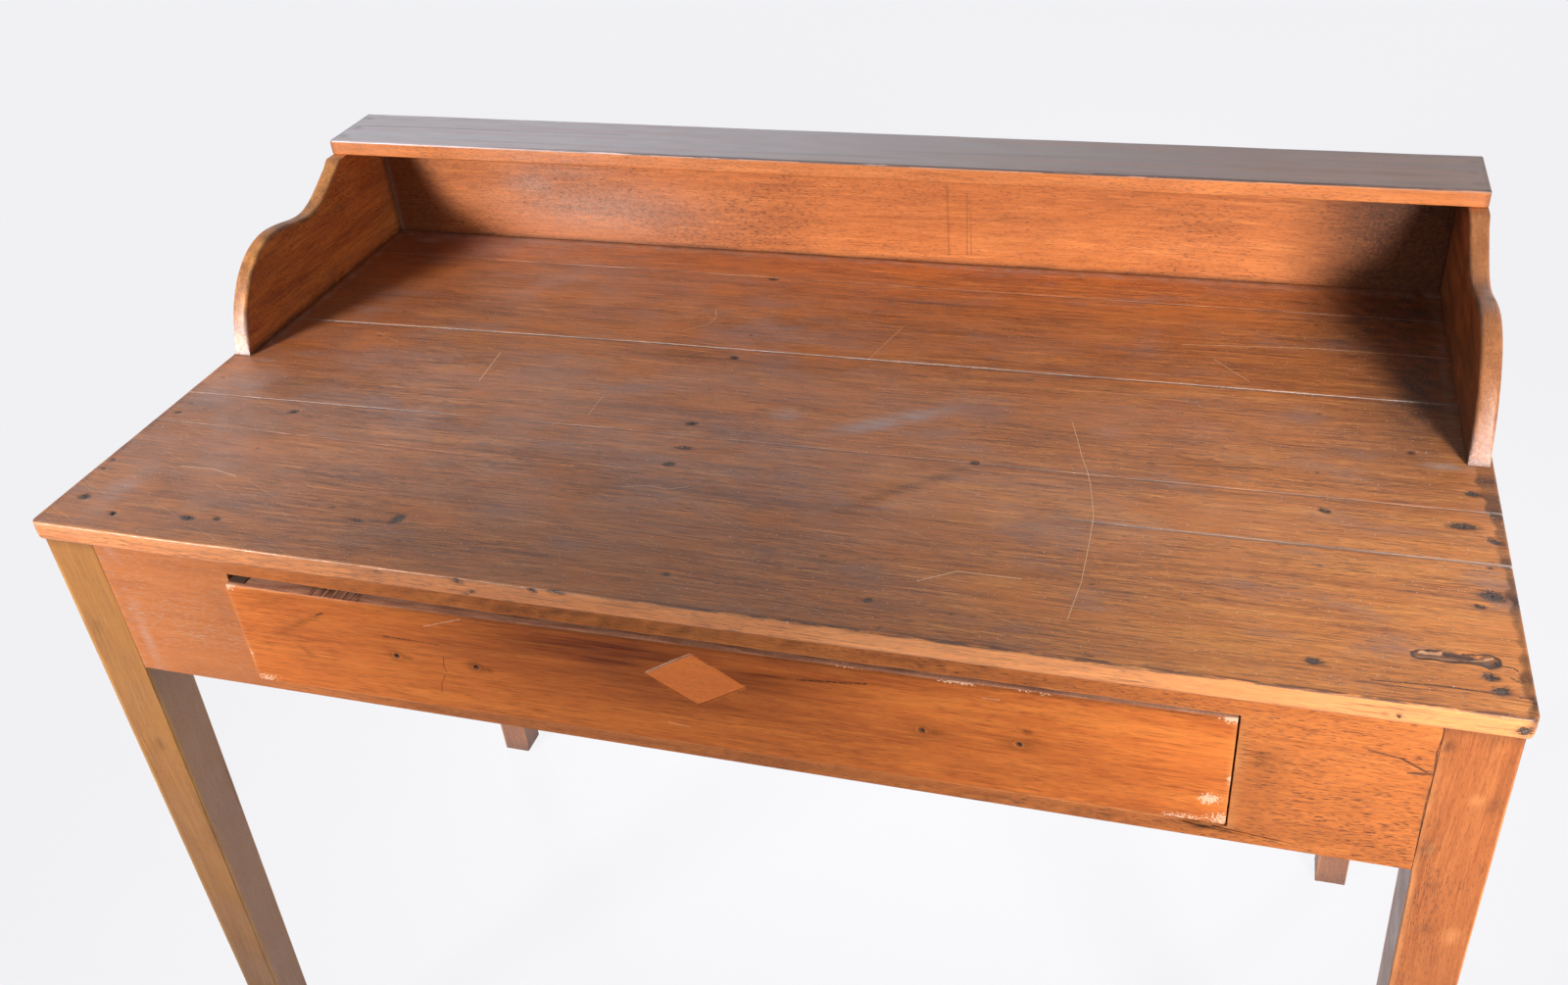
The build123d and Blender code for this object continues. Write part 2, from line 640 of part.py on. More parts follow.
def boxes_meet(first, second):
    """Whether two bounding boxes overlap."""
    pairs = zip(tuple(first.min), tuple(first.max), tuple(second.min), tuple(second.max))
    return all(low_a < high_b and low_b < high_a for low_a, high_a, low_b, high_b in pairs)


def main():
    """Write one STEP file for each piece."""
    os.makedirs("parts", exist_ok=True)
    to_origin = Location((0, -MID_Y, 0))
    in_desk = Location((DRAWER_X, DRAWER_FACE, 0), (0, 0, DRAWER_SKEW))
    parts = fixed_parts()
    parts.update({node: in_desk * shape for node, shape in drawer_parts().items()})
    for node, shape in parts.items():
        placed = to_origin * only_solid(shape)
        placed.label = node
        export_step(placed, os.path.join("parts", node + ".step"))


main()
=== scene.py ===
"""Country writing desk: worn surfaces and finishes round the desk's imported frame.

Blender's units are metres. +X runs to the sitter's right, +Y to the gallery at the back, +Z up.
Places are given in desk millimetres, as a maker would measure them: x from the desk's middle, y back
from the front edge of the table top, and z up from the floor.
"""
import math
from functools import reduce

import bmesh
import bpy
import numpy as np
from bpy.props import FloatProperty, FloatVectorProperty, PointerProperty
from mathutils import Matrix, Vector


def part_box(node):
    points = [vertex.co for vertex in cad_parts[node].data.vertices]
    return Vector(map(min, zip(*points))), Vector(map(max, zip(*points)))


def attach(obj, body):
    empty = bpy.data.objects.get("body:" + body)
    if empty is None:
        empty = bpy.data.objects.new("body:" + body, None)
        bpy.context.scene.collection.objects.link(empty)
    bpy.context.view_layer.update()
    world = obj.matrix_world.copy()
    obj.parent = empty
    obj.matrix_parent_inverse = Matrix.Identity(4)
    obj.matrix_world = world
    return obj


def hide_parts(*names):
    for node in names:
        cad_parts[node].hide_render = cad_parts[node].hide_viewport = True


bl_info = {
    "name": "Country Writing Desk",
    "version": (1, 0, 0),
    "blender": (4, 5, 0),
    "location": "View3D > Sidebar > Desk",
    "description": "Builds the worn boards, legs, drawer and gallery of a country writing desk",
    "category": "Add Mesh",
}

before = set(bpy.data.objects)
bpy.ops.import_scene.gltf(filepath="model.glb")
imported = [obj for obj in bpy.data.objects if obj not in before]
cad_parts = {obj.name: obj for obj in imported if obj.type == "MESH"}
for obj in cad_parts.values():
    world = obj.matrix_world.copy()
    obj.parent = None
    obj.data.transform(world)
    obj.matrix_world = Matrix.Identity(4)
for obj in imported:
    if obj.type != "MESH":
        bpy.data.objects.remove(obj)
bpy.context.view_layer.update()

MM = 0.001
EDGE_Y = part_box("top_board_1")[0].y      # front edge of the table top, in the frame


def span(node):
    """Lowest and highest corner of a CAD node, in desk millimetres."""
    low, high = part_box(node)
    offset = (0.0, EDGE_Y, 0.0)
    return (np.array(low) - offset) / MM, (np.array(high) - offset) / MM


# ---- Places taken from the frame ----

HALF_TOP = span("top_board_1")[1][0]
TOP_UNDER, TOP_FACE = span("top_board_1")[0][2], span("top_board_1")[1][2]
TOP_REAR = span("top_board_5")[1][1]
FRAME_FRONT = span("leg_front_left")[0][1]
FRAME_REAR = span("leg_back_left")[1][1]
HALF_FRAME = span("leg_front_right")[1][0]
LEG_SIZE = HALF_FRAME - span("leg_front_right")[0][0]
LEG_INNER = HALF_FRAME - LEG_SIZE
APRON_UNDER = span("apron_front")[0][2]
SIDE_APRON_INNER = span("apron_right")[0][0]
SHELF_LOW, SHELF_HIGH = span("gallery_shelf")
BACK_LOW, BACK_HIGH = span("gallery_back")
GALLERY_HALF = span("gallery_side_right")[1][0]
SIDES = (("left", -1), ("right", 1))

# ---- Sizes that the frame's boxes don't give ----

FOOT_SIZE = 34.0
FOOT_ROUND = 2.2
APRON_THICK = 20.0
# Joints between the top boards, back from the front edge: at the left end, the knee, the right end
JOINT_X = (-550.0, -150.0, 550.0)
JOINTS = ((157.0, 152.0, 151.5), (203.5, 211.5, 213.0), (348.5, 357.5, 360.0), (501.0, 501.5, 501.0))
JOINT_GAP = 0.4
APRON_PLAY = 0.15                # room between an apron and a leg
PLANK_ARRIS = 0.8
PLANK_WARP = 0.12                # how far a plain board's faces waver
PLAN_CORNER = 6.0
GOUGED_END = 452.0               # the top's mesh is finer from here to its right end
BOARD_HOLLOW = 0.12
DENT_DEPTH = 0.9
BRUISE_DEPTH = 0.7
GOUGE_DEPTH = 1.3
LEG_SWAY = 0.18
OGEE_ROUND = 3.2
SHELF_ROUND = 1.6
OPENING_X = (-378.5, 380.7)
OPENING_Z = (628.5, 729.5)
OPENING_CHIP = 2.0               # the opening's upper edge rises this much at its left end
OPENING_CHIP_RUN = 180.0         # and is level again this far along
GALLERY_SIDE_THICK = 16.0
# Front of a gallery side, from its foot up to the shelf: y, and height above the table top
OGEE = ((273, 0), (279, 24), (296, 55), (325, 80.5), (354, 88.5), (392, 83.5), (416, 81), (442, 89),
        (482, 111))
OGEE_START = (0.12, 1.0)
OGEE_END = (0.9, 0.42)

# Drawer, in its own frame: x from the middle of its front, y back from its face
DRAWER_HALF = 378.0
DRAWER_Z = (629.5, 727.5)
DRAWER_FRONT_THICK = 20.0
DRAWER_SIDE_THICK = 14.0
DRAWER_ROUNDS = (1.3, 1.5, 0.5, 0.5)     # its front board's arrises: lower, upper, then the two rear ones
DRAWER_END_ROUND = 1.0
DRAWER_PIT_DEPTH = 0.8
DRAWER_LAP = 4.0                 # wood left in front of the half-blind tails
DRAWER_PLACE = (1.5, -0.25)
DRAWER_SKEW = math.asin(6.5 / (2 * DRAWER_HALF))
TAILS_UP = ((0.0, 18.0), (26.0, 43.6), (53.0, 70.6), (80.0, 98.0))
TAIL_SPREAD = 1.4
SOCKET_SHRINK = 1.6
GROOVE_UP = (7.5, 13.5)
GROOVE_DEPTH = 5.0
LOZENGE_X, LOZENGE_Z = 4.5, 695.5
LOZENGE_WIDTH, LOZENGE_HEIGHT, LOZENGE_THICK = 76.0, 47.6, 3.0
HANDLE_HOLE_X = (-241.0, -173.3, 170.3, 238.0)
HANDLE_HOLE_Z = 677.5
HANDLE_HOLE_R = 2.6
HOLE_SIDES = 20

# Nails: x and y of the mark on the table top, length and width of the mark, and its turn in degrees
NAILS_LEFT_END = (
    (-528, 40, 11, 7, 10), (-488, 24, 7, 5, -20), (-541, 79, 5, 4, 0), (-542, 92, 5, 4, 10),
    (-535, 171, 7, 4, 15), (-532, 186, 4, 3, 0), (-532, 233, 4, 3, 0),
)
NAILS_RIGHT_END = (
    (525, 35, 11, 8, -5), (530, 23, 12, 8, 10), (534, 117, 19, 11, -10), (525, 104, 9, 4, -5),
    (535, 148, 5, 3, 0), (541, 179, 11, 6, -30), (522, 194, 23, 8, 2), (532, 236, 11, 8, 0),
)
NAILS_CENTRE = (
    (-69, 169, 10, 6, 10), (-65, 194, 18, 5, 2), (-72, 231, 10, 6, 15), (-72, 343, 9, 6, -10),
    (-70, 385, 4, 3, 0), (-84, 499, 10, 6, 0), (-70, 520, 4, 3, 0),
)
NAILS_LEFT_BATTEN = (
    (-422, 30, 13, 7, -5), (-425, 130, 4, 3, 0), (-429, 190, 9, 5, 30), (-424, 245, 4, 3, 0),
    (-425, 330, 4, 3, 0), (-426, 380, 4, 3, 0), (-425, 480, 4, 3, 0), (-425, 520, 4, 3, 0),
)
NAILS_RIGHT_BATTEN = (
    (421, 29, 12, 7, 0), (425, 130, 4, 3, 0), (429, 196, 9, 5, -20), (424, 245, 4, 3, 0),
    (426, 330, 4, 3, 0), (425, 380, 4, 3, 0), (424, 480, 4, 3, 0), (425, 520, 4, 3, 0),
)
NAILS_REAR = tuple((side * 535, y, 4, 3, 0) for _, side in SIDES for y in (330, 385, 470, 530))
# Dents with no nail in them
DENTS = (
    (-397, 33, 7, 5, 0), (129, 34, 8, 5, 20), (20, 31, 3, 2, 0), (188, 30, 4, 3, 0), (203, 30, 4, 3, 0),
    (144, 7, 5, 3, 60), (492, 285, 6, 5, 0), (-252, 60, 14, 9, 60), (-283, 52, 12, 3, -5),
    (-312, 65, 4, 3, 0), (170, 213, 7, 5, 0), (-20, 34, 7, 4, 0), (276, 80, 4, 3, 0),
)
GOUGE_X = (479.0, 533.0)
GOUGE_Y = (43.5, 53.5)
# The gouge's torn inside: x, y, half length, half width, turn, strength
GOUGE_LOBES = ((490, 49.0, 11, 4.8, 2, 1.0), (509, 49.0, 16, 4.6, 0, 1.0), (526, 48.5, 7.5, 7.0, 0, 1.0))
# Its dark rims, pale ridges and grey knot: half width, then the points that each runs through
GOUGE_RIM = (
    (2.0, (480.6, 49), (481, 45.6)), (0.9, (480, 50), (487, 52.8), (498, 53.8)),
    (2.0, (500, 51.4), (516, 50.9)), (1.1, (511, 53.2), (527, 55.2), (532, 52.4), (532, 47)),
    (0.8, (480.5, 45), (489, 44.4), (501, 44.8), (512, 45.2), (521, 44.4), (525, 42), (529.5, 44.4)),
    (1.6, (529.6, 49.4), (531, 46)),
)
GOUGE_RIDGES = ((1.2, (485, 51), (497.5, 51.4)), (1.0, (484, 47), (499, 47.4), (508, 47)),
                (0.9, (511, 47.4), (519.5, 49.6), (528, 52.6)))
GOUGE_KNOT = ((1.9, (523.6, 47.4), (525.4, 47)),)
# Dark stains: x, y, half length, half width, turn in degrees, strength. The four large ones in the
# gallery's rear corners, at (492, 505), (506, 390), (-500, 520) and (-516, 420), are painted shadow of the
# gallery's sides over some dirt
STAINS_AND_SHADOWS = (
    (122, 168, 42, 6, 41, 0.5), (147, 188, 14, 6, 35, 0.55), (-276, 74, 26, 7, 20, 0.25),
    (-225, 66, 12, 12, 0, 0.3), (-296, 74, 14, 11, 0, 0.25), (-105, 415, 48, 9, -38, 0.3),
    (-15, 418, 46, 10, 24, 0.3), (-70, 392, 22, 9, 0, 0.2), (-245, 32, 90, 24, 0, 0.22),
    (-470, 45, 12, 34, 0, 0.18), (-440, 38, 10, 30, 8, 0.16), (-410, 44, 12, 26, -8, 0.14),
    (-460, 409, 80, 2, 0, 0.35), (-455, 232, 60, 10, 12, 0.25), (-300, 335, 190, 5, 1, 0.12),
    (90, 470, 60, 3, 2, 0.3), (370, 330, 150, 5, 0, 0.14), (330, 35, 120, 14, 0, 0.08),
    (-150, 170, 260, 4, 1, 0.14), (180, 108, 200, 3, 0, 0.12), (40, 128, 170, 4, 1, 0.16),
    (368, 243, 20, 3, 0, 0.3), (445, 192, 12, 5, 0, 0.2), (-30, 120, 24, 20, 0, 0.12),
    (-160, 60, 260, 60, 0, 0.2), (60, 110, 170, 30, 4, 0.14), (-40, 20, 380, 22, 0, 0.16),
    (492, 505, 80, 100, 0, 1.0), (506, 390, 48, 120, 0, 1.0), (-500, 520, 60, 60, 0, 0.5),
    (-516, 420, 30, 90, 0, 0.45), (-300, 20, 200, 10, 0, 0.16), (-200, 140, 160, 3, 1, 0.2),
    (330, 205, 120, 3, 0, 0.2), (300, 110, 150, 2.5, 1, 0.16), (-340, 260, 110, 4, 0, 0.18),
)
# Pale bloom and rubbed dust on the face, the same way. The broad patches over the left and middle are also
# a painted reflection, the grey haze of the glossy top
BLOOMS_AND_SHEEN = (
    (-150, 432, 230, 78, 0, 0.26), (-290, 450, 80, 60, 0, 0.4), (-320, 215, 60, 60, 30, 0.36),
    (-45, 389, 100, 48, 0, 0.4), (-240, 280, 230, 60, 0, 0.3), (0, 257, 15, 10, 0, 0.9),
    (92, 262, 56, 11, 30, 1.0), (-500, 218, 42, 36, 0, 0.55), (60, 335, 34, 34, 0, 0.24),
    (284, 425, 12, 26, 0, 0.3), (268, 276, 24, 10, 0, 0.35), (-395, 532, 80, 24, 0, 0.4),
    (-205, 370, 40, 22, 0, 0.25), (112, 143, 16, 7, 20, 0.5), (-60, 300, 330, 34, 0, 0.24),
    (430, 188, 20, 10, 0, 0.3), (-350, 40, 60, 22, 0, 0.1), (-100, 90, 220, 50, 0, 0.14),
    (240, 170, 160, 60, 0, 0.2), (330, 300, 120, 40, 0, 0.16), (-420, 190, 110, 70, 0, 0.22),
    (150, 400, 200, 60, 0, 0.12), (-150, 180, 380, 110, 0, 0.26), (-452, 120, 26, 70, 35, 0.3),
    (-505, 60, 14, 46, 0, 0.4), (-478, 150, 10, 60, 30, 0.35), (-420, 60, 16, 40, -20, 0.22),
)
# Scratches: half width, then the points that they run through
SCRATCHES = (
    (0.75, (158, 60), (183, 76), (228, 76)),
    (0.45, (236, 285), (243, 262), (250, 236), (257, 215), (261, 199), (268, 160), (269, 128), (269, 80),
     (265, 39)),
    (0.6, (-476, 94), (-446, 95), (-419, 89)), (0.6, (-292, 317), (-288, 267)),
    (0.4, (-165, 260), (-165, 228)), (0.4, (-96, 132), (-74, 137), (-58, 135), (-42, 142)),
    (0.4, (-137, 383), (-118, 398), (-114, 413), (-120, 428)), (0.5, (313, 427), (423, 437), (528, 436)),
    (0.4, (341, 405), (356, 388), (371, 372)), (0.35, (30, 424), (64, 420), (48, 358)),
)
# Cracks of the table top, the same way
CRACKS = (
    (0.7, (455, 17.6), (492, 20.2), (528, 19.4)), (0.8, (532.8, 46.1), (539.2, 45.7), (541.5, 43.3)),
    (0.7, (536.7, 35.9), (541.3, 32.9)), (0.7, (540, 18.5), (548, 19)), (0.5, (-330, 236), (-215, 236)),
    (0.6, (300, 236), (392, 243)),
)
# Small dark dents in the nosing: x, z, half length, half height, turn, strength
NOSING_DENTS = (
    (-170, 759, 6, 2.2, -5, 1.0), (-162, 750, 9, 1.6, 25, 0.85), (-110, 759.5, 4, 2.2, 0, 1.0),
    (-91, 761, 7, 1.6, 0, 0.9), (543, 752, 6, 3.4, 10, 1.1), (464, 752, 3, 1.4, 0, 0.8),
    (472, 751, 2, 1.2, 0, 0.7), (-236, 757, 5, 1.0, 0, 0.7), (308, 758, 5, 1.0, 10, 0.6),
)


# ---- Numbers ----

def placed(points):
    """Desk millimetres as metres in the frame."""
    return np.asarray(points, float) * MM + (0.0, EDGE_Y, 0.0)


def in_drawer(points):
    """The drawer's own millimetres as desk millimetres: turned by its skew, then moved to its place."""
    points = np.asarray(points, float)
    x, y, z = np.moveaxis(points, -1, 0)
    turned_x = x * math.cos(DRAWER_SKEW) - y * math.sin(DRAWER_SKEW) + DRAWER_PLACE[0]
    turned_y = x * math.sin(DRAWER_SKEW) + y * math.cos(DRAWER_SKEW) + DRAWER_PLACE[1]
    return np.stack((turned_x, turned_y, z), axis=-1)


def ease(value, low, high):
    """Smooth step from 0 at low to 1 at high: t t (3 - 2 t)."""
    t = np.clip((value - low) / (high - low), 0.0, 1.0)
    return t * t * (3.0 - 2.0 * t)


def ripple(seed, size, *coordinates):
    """Uneven swell of about -1 to 1: eight sines of drawn directions, lengths near size, and phases."""
    draw = np.random.default_rng(seed)
    waves = 8
    total = 0.0
    for _ in range(waves):
        rates = draw.normal(size=len(coordinates)) * 2.0 * math.pi / size
        turn = sum(rate * value for rate, value in zip(rates, coordinates))
        total = total + np.sin(turn + draw.uniform(0.0, 2.0 * math.pi))
    return total / math.sqrt(waves)


def patches(x, y, spots, sharp=2.0):
    """Strongest of several soft ellipses at each point: strength exp(-(u/a)^2 - (v/b)^2)^(sharp/2)."""
    total = np.zeros(np.broadcast(x, y).shape)
    for middle_x, middle_y, half_long, half_wide, turn, strength in spots:
        angle = math.radians(turn)
        u = ((x - middle_x) * math.cos(angle) + (y - middle_y) * math.sin(angle)) / half_long
        v = ((y - middle_y) * math.cos(angle) - (x - middle_x) * math.sin(angle)) / half_wide
        total = np.maximum(total, strength * np.exp(-((u * u + v * v) ** (sharp / 2.0))))
    return total


def round_off(distance, radius):
    """How far a rounded edge falls away at this distance from its end: r - sqrt(r^2 - (r - d)^2)."""
    reach = np.clip(radius - distance, 0.0, radius)
    return radius - np.sqrt(np.maximum(radius * radius - reach * reach, 0.0))


def stations(low, high, step, radius, fine_from=None, fine_step=None):
    """Places from low to high, a step apart, closer from fine_from on and in the rounded ends."""
    arc = radius * (1.0 - np.cos(np.linspace(0.0, math.pi / 2, 7)))
    change = high - radius if fine_from is None else fine_from
    plain = np.linspace(low + radius, change, max(int((change - low - radius) / step), 1) + 1)[1:-1]
    parts = [low + arc, plain]
    if fine_from is not None:
        rest = high - radius - change
        parts.append(np.linspace(change, high - radius, max(int(rest / fine_step), 1) + 1)[:-1])
    return np.concatenate((*parts, (high - arc)[::-1]))


def smooth_line(points, start, end, per_span):
    """Points along the cubic spline through points, with given end directions.

    The spline is C2 in the length t along the chords. Its slopes m solve, at each inner point,
    h1 m0 + 2 (h0 + h1) m1 + h0 m2 = 3 (h1 d0 + h0 d1), d being the chords' own slopes.
    """
    points = np.array(points, float)
    chords = np.linalg.norm(np.diff(points, axis=0), axis=1)
    slopes = np.diff(points, axis=0) / chords[:, None]
    count = len(points)
    system = np.eye(count)
    right = np.zeros((count, 2))
    right[0] = np.array(start) / np.linalg.norm(start)
    right[-1] = np.array(end) / np.linalg.norm(end)
    for row in range(1, count - 1):
        before, after = chords[row - 1], chords[row]
        system[row, row - 1:row + 2] = (after, 2.0 * (before + after), before)
        right[row] = 3.0 * (after * slopes[row - 1] + before * slopes[row])
    tangents = np.linalg.solve(system, right)
    t = np.linspace(0.0, 1.0, per_span, endpoint=False)[:, None]
    spans = []
    for row in range(count - 1):
        h = chords[row]
        spans.append((2 * t**3 - 3 * t**2 + 1) * points[row] + (t**3 - 2 * t**2 + t) * h * tangents[row]
                     + (3 * t**2 - 2 * t**3) * points[row + 1] + (t**3 - t**2) * h * tangents[row + 1])
    return np.vstack((*spans, points[-1:]))


# ---- Shapes ----

class Shape:
    """Vertices, faces and vertex attributes of one piece, in desk millimetres."""

    def __init__(self):
        self.points = []
        self.faces = []
        self.smooth = []
        self.marks = []
        self.count = 0

    def loft(self, rings, marks=None, endless=False):
        """Skin over rings of equal length (stations x around x 3).

        Quads join neighbouring rings and one flat face closes each end. An endless loft joins its
        last ring to its first. Where the enclosed volume, the sum of p0 . (p1 x p2) / 6 over the
        triangles, comes out negative, the faces are turned over.
        """
        rows, around = rings.shape[:2]
        index = np.arange(rows * around).reshape(rows, around)
        if endless:
            index = np.vstack((index, index[:1]))
        ahead = np.roll(index, -1, axis=1)
        quads = np.stack((index[:-1], ahead[:-1], ahead[1:], index[1:]), axis=-1).reshape(-1, 4)
        flat = rings.reshape(-1, 3)
        corners = flat[quads] - flat.mean(axis=0)
        volume = np.einsum("ij,ij->", corners[:, 0], np.cross(corners[:, 1], corners[:, 2]))
        volume += np.einsum("ij,ij->", corners[:, 0], np.cross(corners[:, 2], corners[:, 3]))
        caps = [] if endless else [index[0][::-1], index[-1]]
        for cap in caps:
            rim = flat[cap] - flat.mean(axis=0)
            fan = np.tile(rim[:1], (len(rim) - 2, 1))
            volume += np.einsum("ij,ij->", np.cross(rim[1:-1], rim[2:]), fan)
        faces = quads.tolist() + [cap.tolist() for cap in caps]
        if volume < 0.0:
            faces = [face[::-1] for face in faces]
        self.faces += [[corner + self.count for corner in face] for face in faces]
        self.smooth += [True] * len(quads) + [False] * len(caps)
        self.points.append(flat)
        self.marks.append({name: np.broadcast_to(values, (rows, around)).ravel()
                           for name, values in (marks or {}).items()})
        self.count += len(flat)
        return self

    def mesh(self, name):
        """Blender mesh of the shape, in metres in the frame."""
        mesh = bpy.data.meshes.new(name)
        mesh.from_pydata(placed(np.vstack(self.points)).tolist(), [], self.faces)
        mesh.polygons.foreach_set("use_smooth", self.smooth)
        for mark in sorted({key for marks in self.marks for key in marks}):
            parts = [marks.get(mark, np.zeros(len(points)))
                     for marks, points in zip(self.marks, self.points)]
            layer = mesh.attributes.new(mark, "FLOAT", "POINT")
            layer.data.foreach_set("value", np.clip(np.concatenate(parts), 0.0, 1.0).astype(np.float32))
        mesh.validate()
        mesh.update()
        return mesh


FACE, UPPER_REAR, REAR, LOWER_REAR, UNDER, LOWER_FRONT, FRONT, UPPER_FRONT = range(8)
ROUNDS = (UPPER_REAR, LOWER_REAR, LOWER_FRONT, UPPER_FRONT)


def rounded_section(across, upright, radii, counts):
    """Loops of a rounded rectangle, one for each station, and the stretch that each point is in.

    A loop runs back along the face at the high end of upright, round its rear corner, down the rear
    side, forward along the underside and up the front side. Corners are centre + r (cos t, sin t).
    """
    a0, a1, b0, b1 = (np.atleast_1d(value)[:, None] for value in (*across, *upright))
    upper_front, upper_rear, lower_rear, lower_front = (np.atleast_1d(value)[:, None] for value in radii)
    face, arc, side, under = counts
    stretches = []

    def straight(start, end, count):
        t = np.linspace(0.0, 1.0, count, endpoint=False)
        stretches.append([low + (high - low) * t for low, high in zip(start, end)])

    def corner(centre_a, centre_b, radius, first):
        angle = np.radians(first - 90.0 * np.linspace(0.0, 1.0, arc, endpoint=False))
        stretches.append([centre_a + radius * np.cos(angle), centre_b + radius * np.sin(angle)])

    straight((a0 + upper_front, b1), (a1 - upper_rear, b1), face)
    corner(a1 - upper_rear, b1 - upper_rear, upper_rear, 90.0)
    straight((a1, b1 - upper_rear), (a1, b0 + lower_rear), side)
    corner(a1 - lower_rear, b0 + lower_rear, lower_rear, 0.0)
    straight((a1 - lower_rear, b0), (a0 + lower_front, b0), under)
    corner(a0 + lower_front, b0 + lower_front, lower_front, -90.0)
    straight((a0, b0 + lower_front), (a0, b1 - upper_front), side)
    corner(a0 + upper_front, b1 - upper_front, upper_front, 180.0)
    rows = max(np.shape(value)[0] for stretch in stretches for value in stretch)
    loops = np.concatenate([np.stack([np.broadcast_to(value, (rows, value.shape[1])) for value in stretch],
                                     axis=-1) for stretch in stretches], axis=1)
    zones = np.concatenate([np.full(stretch[0].shape[1], zone) for zone, stretch in enumerate(stretches)])
    return loops, zones


def slab(outline, low, high, arris, axis):
    """Rings of a flat board cut to a closed outline, from low to high along an axis.

    Each edge is a quarter round of its point's arris: the outline is moved inward by r (1 - cos t)
    along its mitres while the depth runs by r (1 - sin t).
    """
    ahead = np.roll(outline, -1, axis=0) - outline
    behind = np.roll(ahead, 1, axis=0)
    normals = []
    for edge in (ahead, behind):
        unit = edge / np.linalg.norm(edge, axis=1)[:, None]
        normals.append(np.stack((-unit[:, 1], unit[:, 0]), axis=-1))
    mitre = normals[0] + normals[1]
    mitre = 2.0 * mitre / np.sum(mitre * mitre, axis=1)[:, None]
    area = np.sum(outline[:, 0] * np.roll(outline[:, 1], -1) - np.roll(outline[:, 0], -1) * outline[:, 1])
    inward = mitre * np.sign(area)
    rings = []
    turn = np.linspace(0.0, math.pi / 2, 6)
    levels = [(angle, False) for angle in turn] + [(angle, True) for angle in turn[::-1]]
    for angle, top in levels:
        plan = outline + inward * (arris * (1.0 - math.sin(angle)))[:, None]
        depth = arris * (1.0 - math.cos(angle))
        level = high - depth if top else low + depth
        rings.append(np.insert(plan, axis, level, axis=1))
    return np.array(rings)


def piece(name, mesh, body, nodes, finish):
    """Puts a finished mesh in the scene, on its body, in place of the CAD nodes that it stands for."""
    mesh.materials.clear()
    mesh.materials.append(finish)
    thing = bpy.data.objects.new(name, mesh)
    bpy.context.scene.collection.objects.link(thing)
    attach(thing, body)
    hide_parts(*nodes)
    return thing


def worn_piece(node, shape, body, finish, ending="_worn"):
    """Piece of a shape, in place of one CAD node."""
    piece(node + ending, shape.mesh(node), body, [node], finish)


def eased_copy(node, body, finish, width):
    """Copy of a CAD piece with its points merged and its sharp edges taken off by a small bevel."""
    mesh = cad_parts[node].data.copy()
    shape = bmesh.new()
    shape.from_mesh(mesh)
    bmesh.ops.remove_doubles(shape, verts=shape.verts, dist=0.01 * MM)
    bmesh.ops.dissolve_limit(shape, angle_limit=math.radians(1.0), verts=shape.verts, edges=shape.edges)
    shape.to_mesh(mesh)
    shape.free()
    thing = piece(node + "_eased", mesh, body, [node], finish)
    bevel = thing.modifiers.new("arris", "BEVEL")
    bevel.width = width
    bevel.segments = 2
    bevel.limit_method = "ANGLE"
    bevel.angle_limit = math.radians(35.0)
    bevel.harden_normals = True
    return thing


def repaint(node, finish):
    """Gives a CAD piece that stays as it is its finish."""
    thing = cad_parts[node]
    if not thing.material_slots:
        thing.data.materials.append(finish)
    for slot in thing.material_slots:
        slot.material = finish


# ---- Colours ----

def screen(red, green, blue):
    """Linear colour of an 8-bit screen colour: ((c + 0.055) / 1.055) ^ 2.4, or c / 12.92 when dark."""
    values = np.array((red, green, blue)) / 255.0
    linear = np.where(values <= 0.04045, values / 12.92, ((values + 0.055) / 1.055) ** 2.4)
    return tuple(float(value) for value in linear)


def wood(light, middle, dark, pores=(84, 42, 24)):
    """Linear colours of a wood's light, middle and dark tones and of its pores."""
    return tuple(screen(*tone) for tone in (light, middle, dark, pores))


TOP_TONES = wood((234, 156, 94), (192, 118, 68), (104, 57, 36), (50, 30, 24))
# Lit copy of the top's tones, laid towards the front right as painted light
TOP_LIT_TONES = wood((250, 168, 88), (224, 138, 70), (152, 88, 46), (78, 46, 32))
TOP_REAR_TONES = wood((234, 152, 82), (196, 116, 60), (112, 60, 34), (58, 32, 24))
NOSING_TONES = wood((240, 156, 92), (224, 138, 76), (178, 102, 56))
LEG_TONES = wood((186, 113, 60), (166, 92, 45), (126, 65, 31), (60, 31, 20))
OLIVE_LEG_TONES = wood((176, 119, 52), (154, 99, 40), (116, 71, 31))
APRON_TONES = wood((214, 131, 67), (192, 109, 53), (144, 76, 37), (66, 34, 22))
DRAWER_TONES = wood((230, 138, 66), (206, 112, 52), (138, 66, 34), (74, 36, 22))
INLAY_TONES = wood((234, 130, 46), (216, 112, 38), (186, 90, 32), (126, 64, 32))
# Much lighter than the right side's: painted light on the left side's inner face
LEFT_SIDE_PAINTED_LIGHT_TONES = wood((255, 190, 108), (244, 162, 88), (150, 80, 44))
RIGHT_SIDE_TONES = wood((204, 134, 80), (178, 110, 62), (128, 74, 42))
GALLERY_TONES = wood((220, 138, 78), (190, 110, 58), (136, 74, 40))
SHELF_TONES = wood((244, 156, 92), (224, 134, 74), (168, 94, 52))
INSIDE_TONES = wood((206, 162, 112), (184, 136, 88), (150, 104, 64), (104, 70, 44))
HIDDEN_TONES = wood((188, 146, 102), (164, 120, 80), (126, 88, 58), (88, 60, 40))

# Wear, dirt and painted shade of every finish
WORN_LIGHT = screen(232, 158, 98)
WORN_OLIVE = screen(214, 160, 88)
RUBBED = screen(236, 196, 164)
# The dirt tone is also laid as painted shade: in the gallery's rear corners, at the ends of its back board
# and over the right gallery side's inner face
DIRT = screen(36, 19, 12)
DUST = screen(176, 160, 150)
# Grey-mauve painted shade for the legs' inner faces
LEG_SHADE = screen(118, 92, 84)
PIT = screen(30, 22, 20)
PIT_DUST = screen(112, 100, 94)
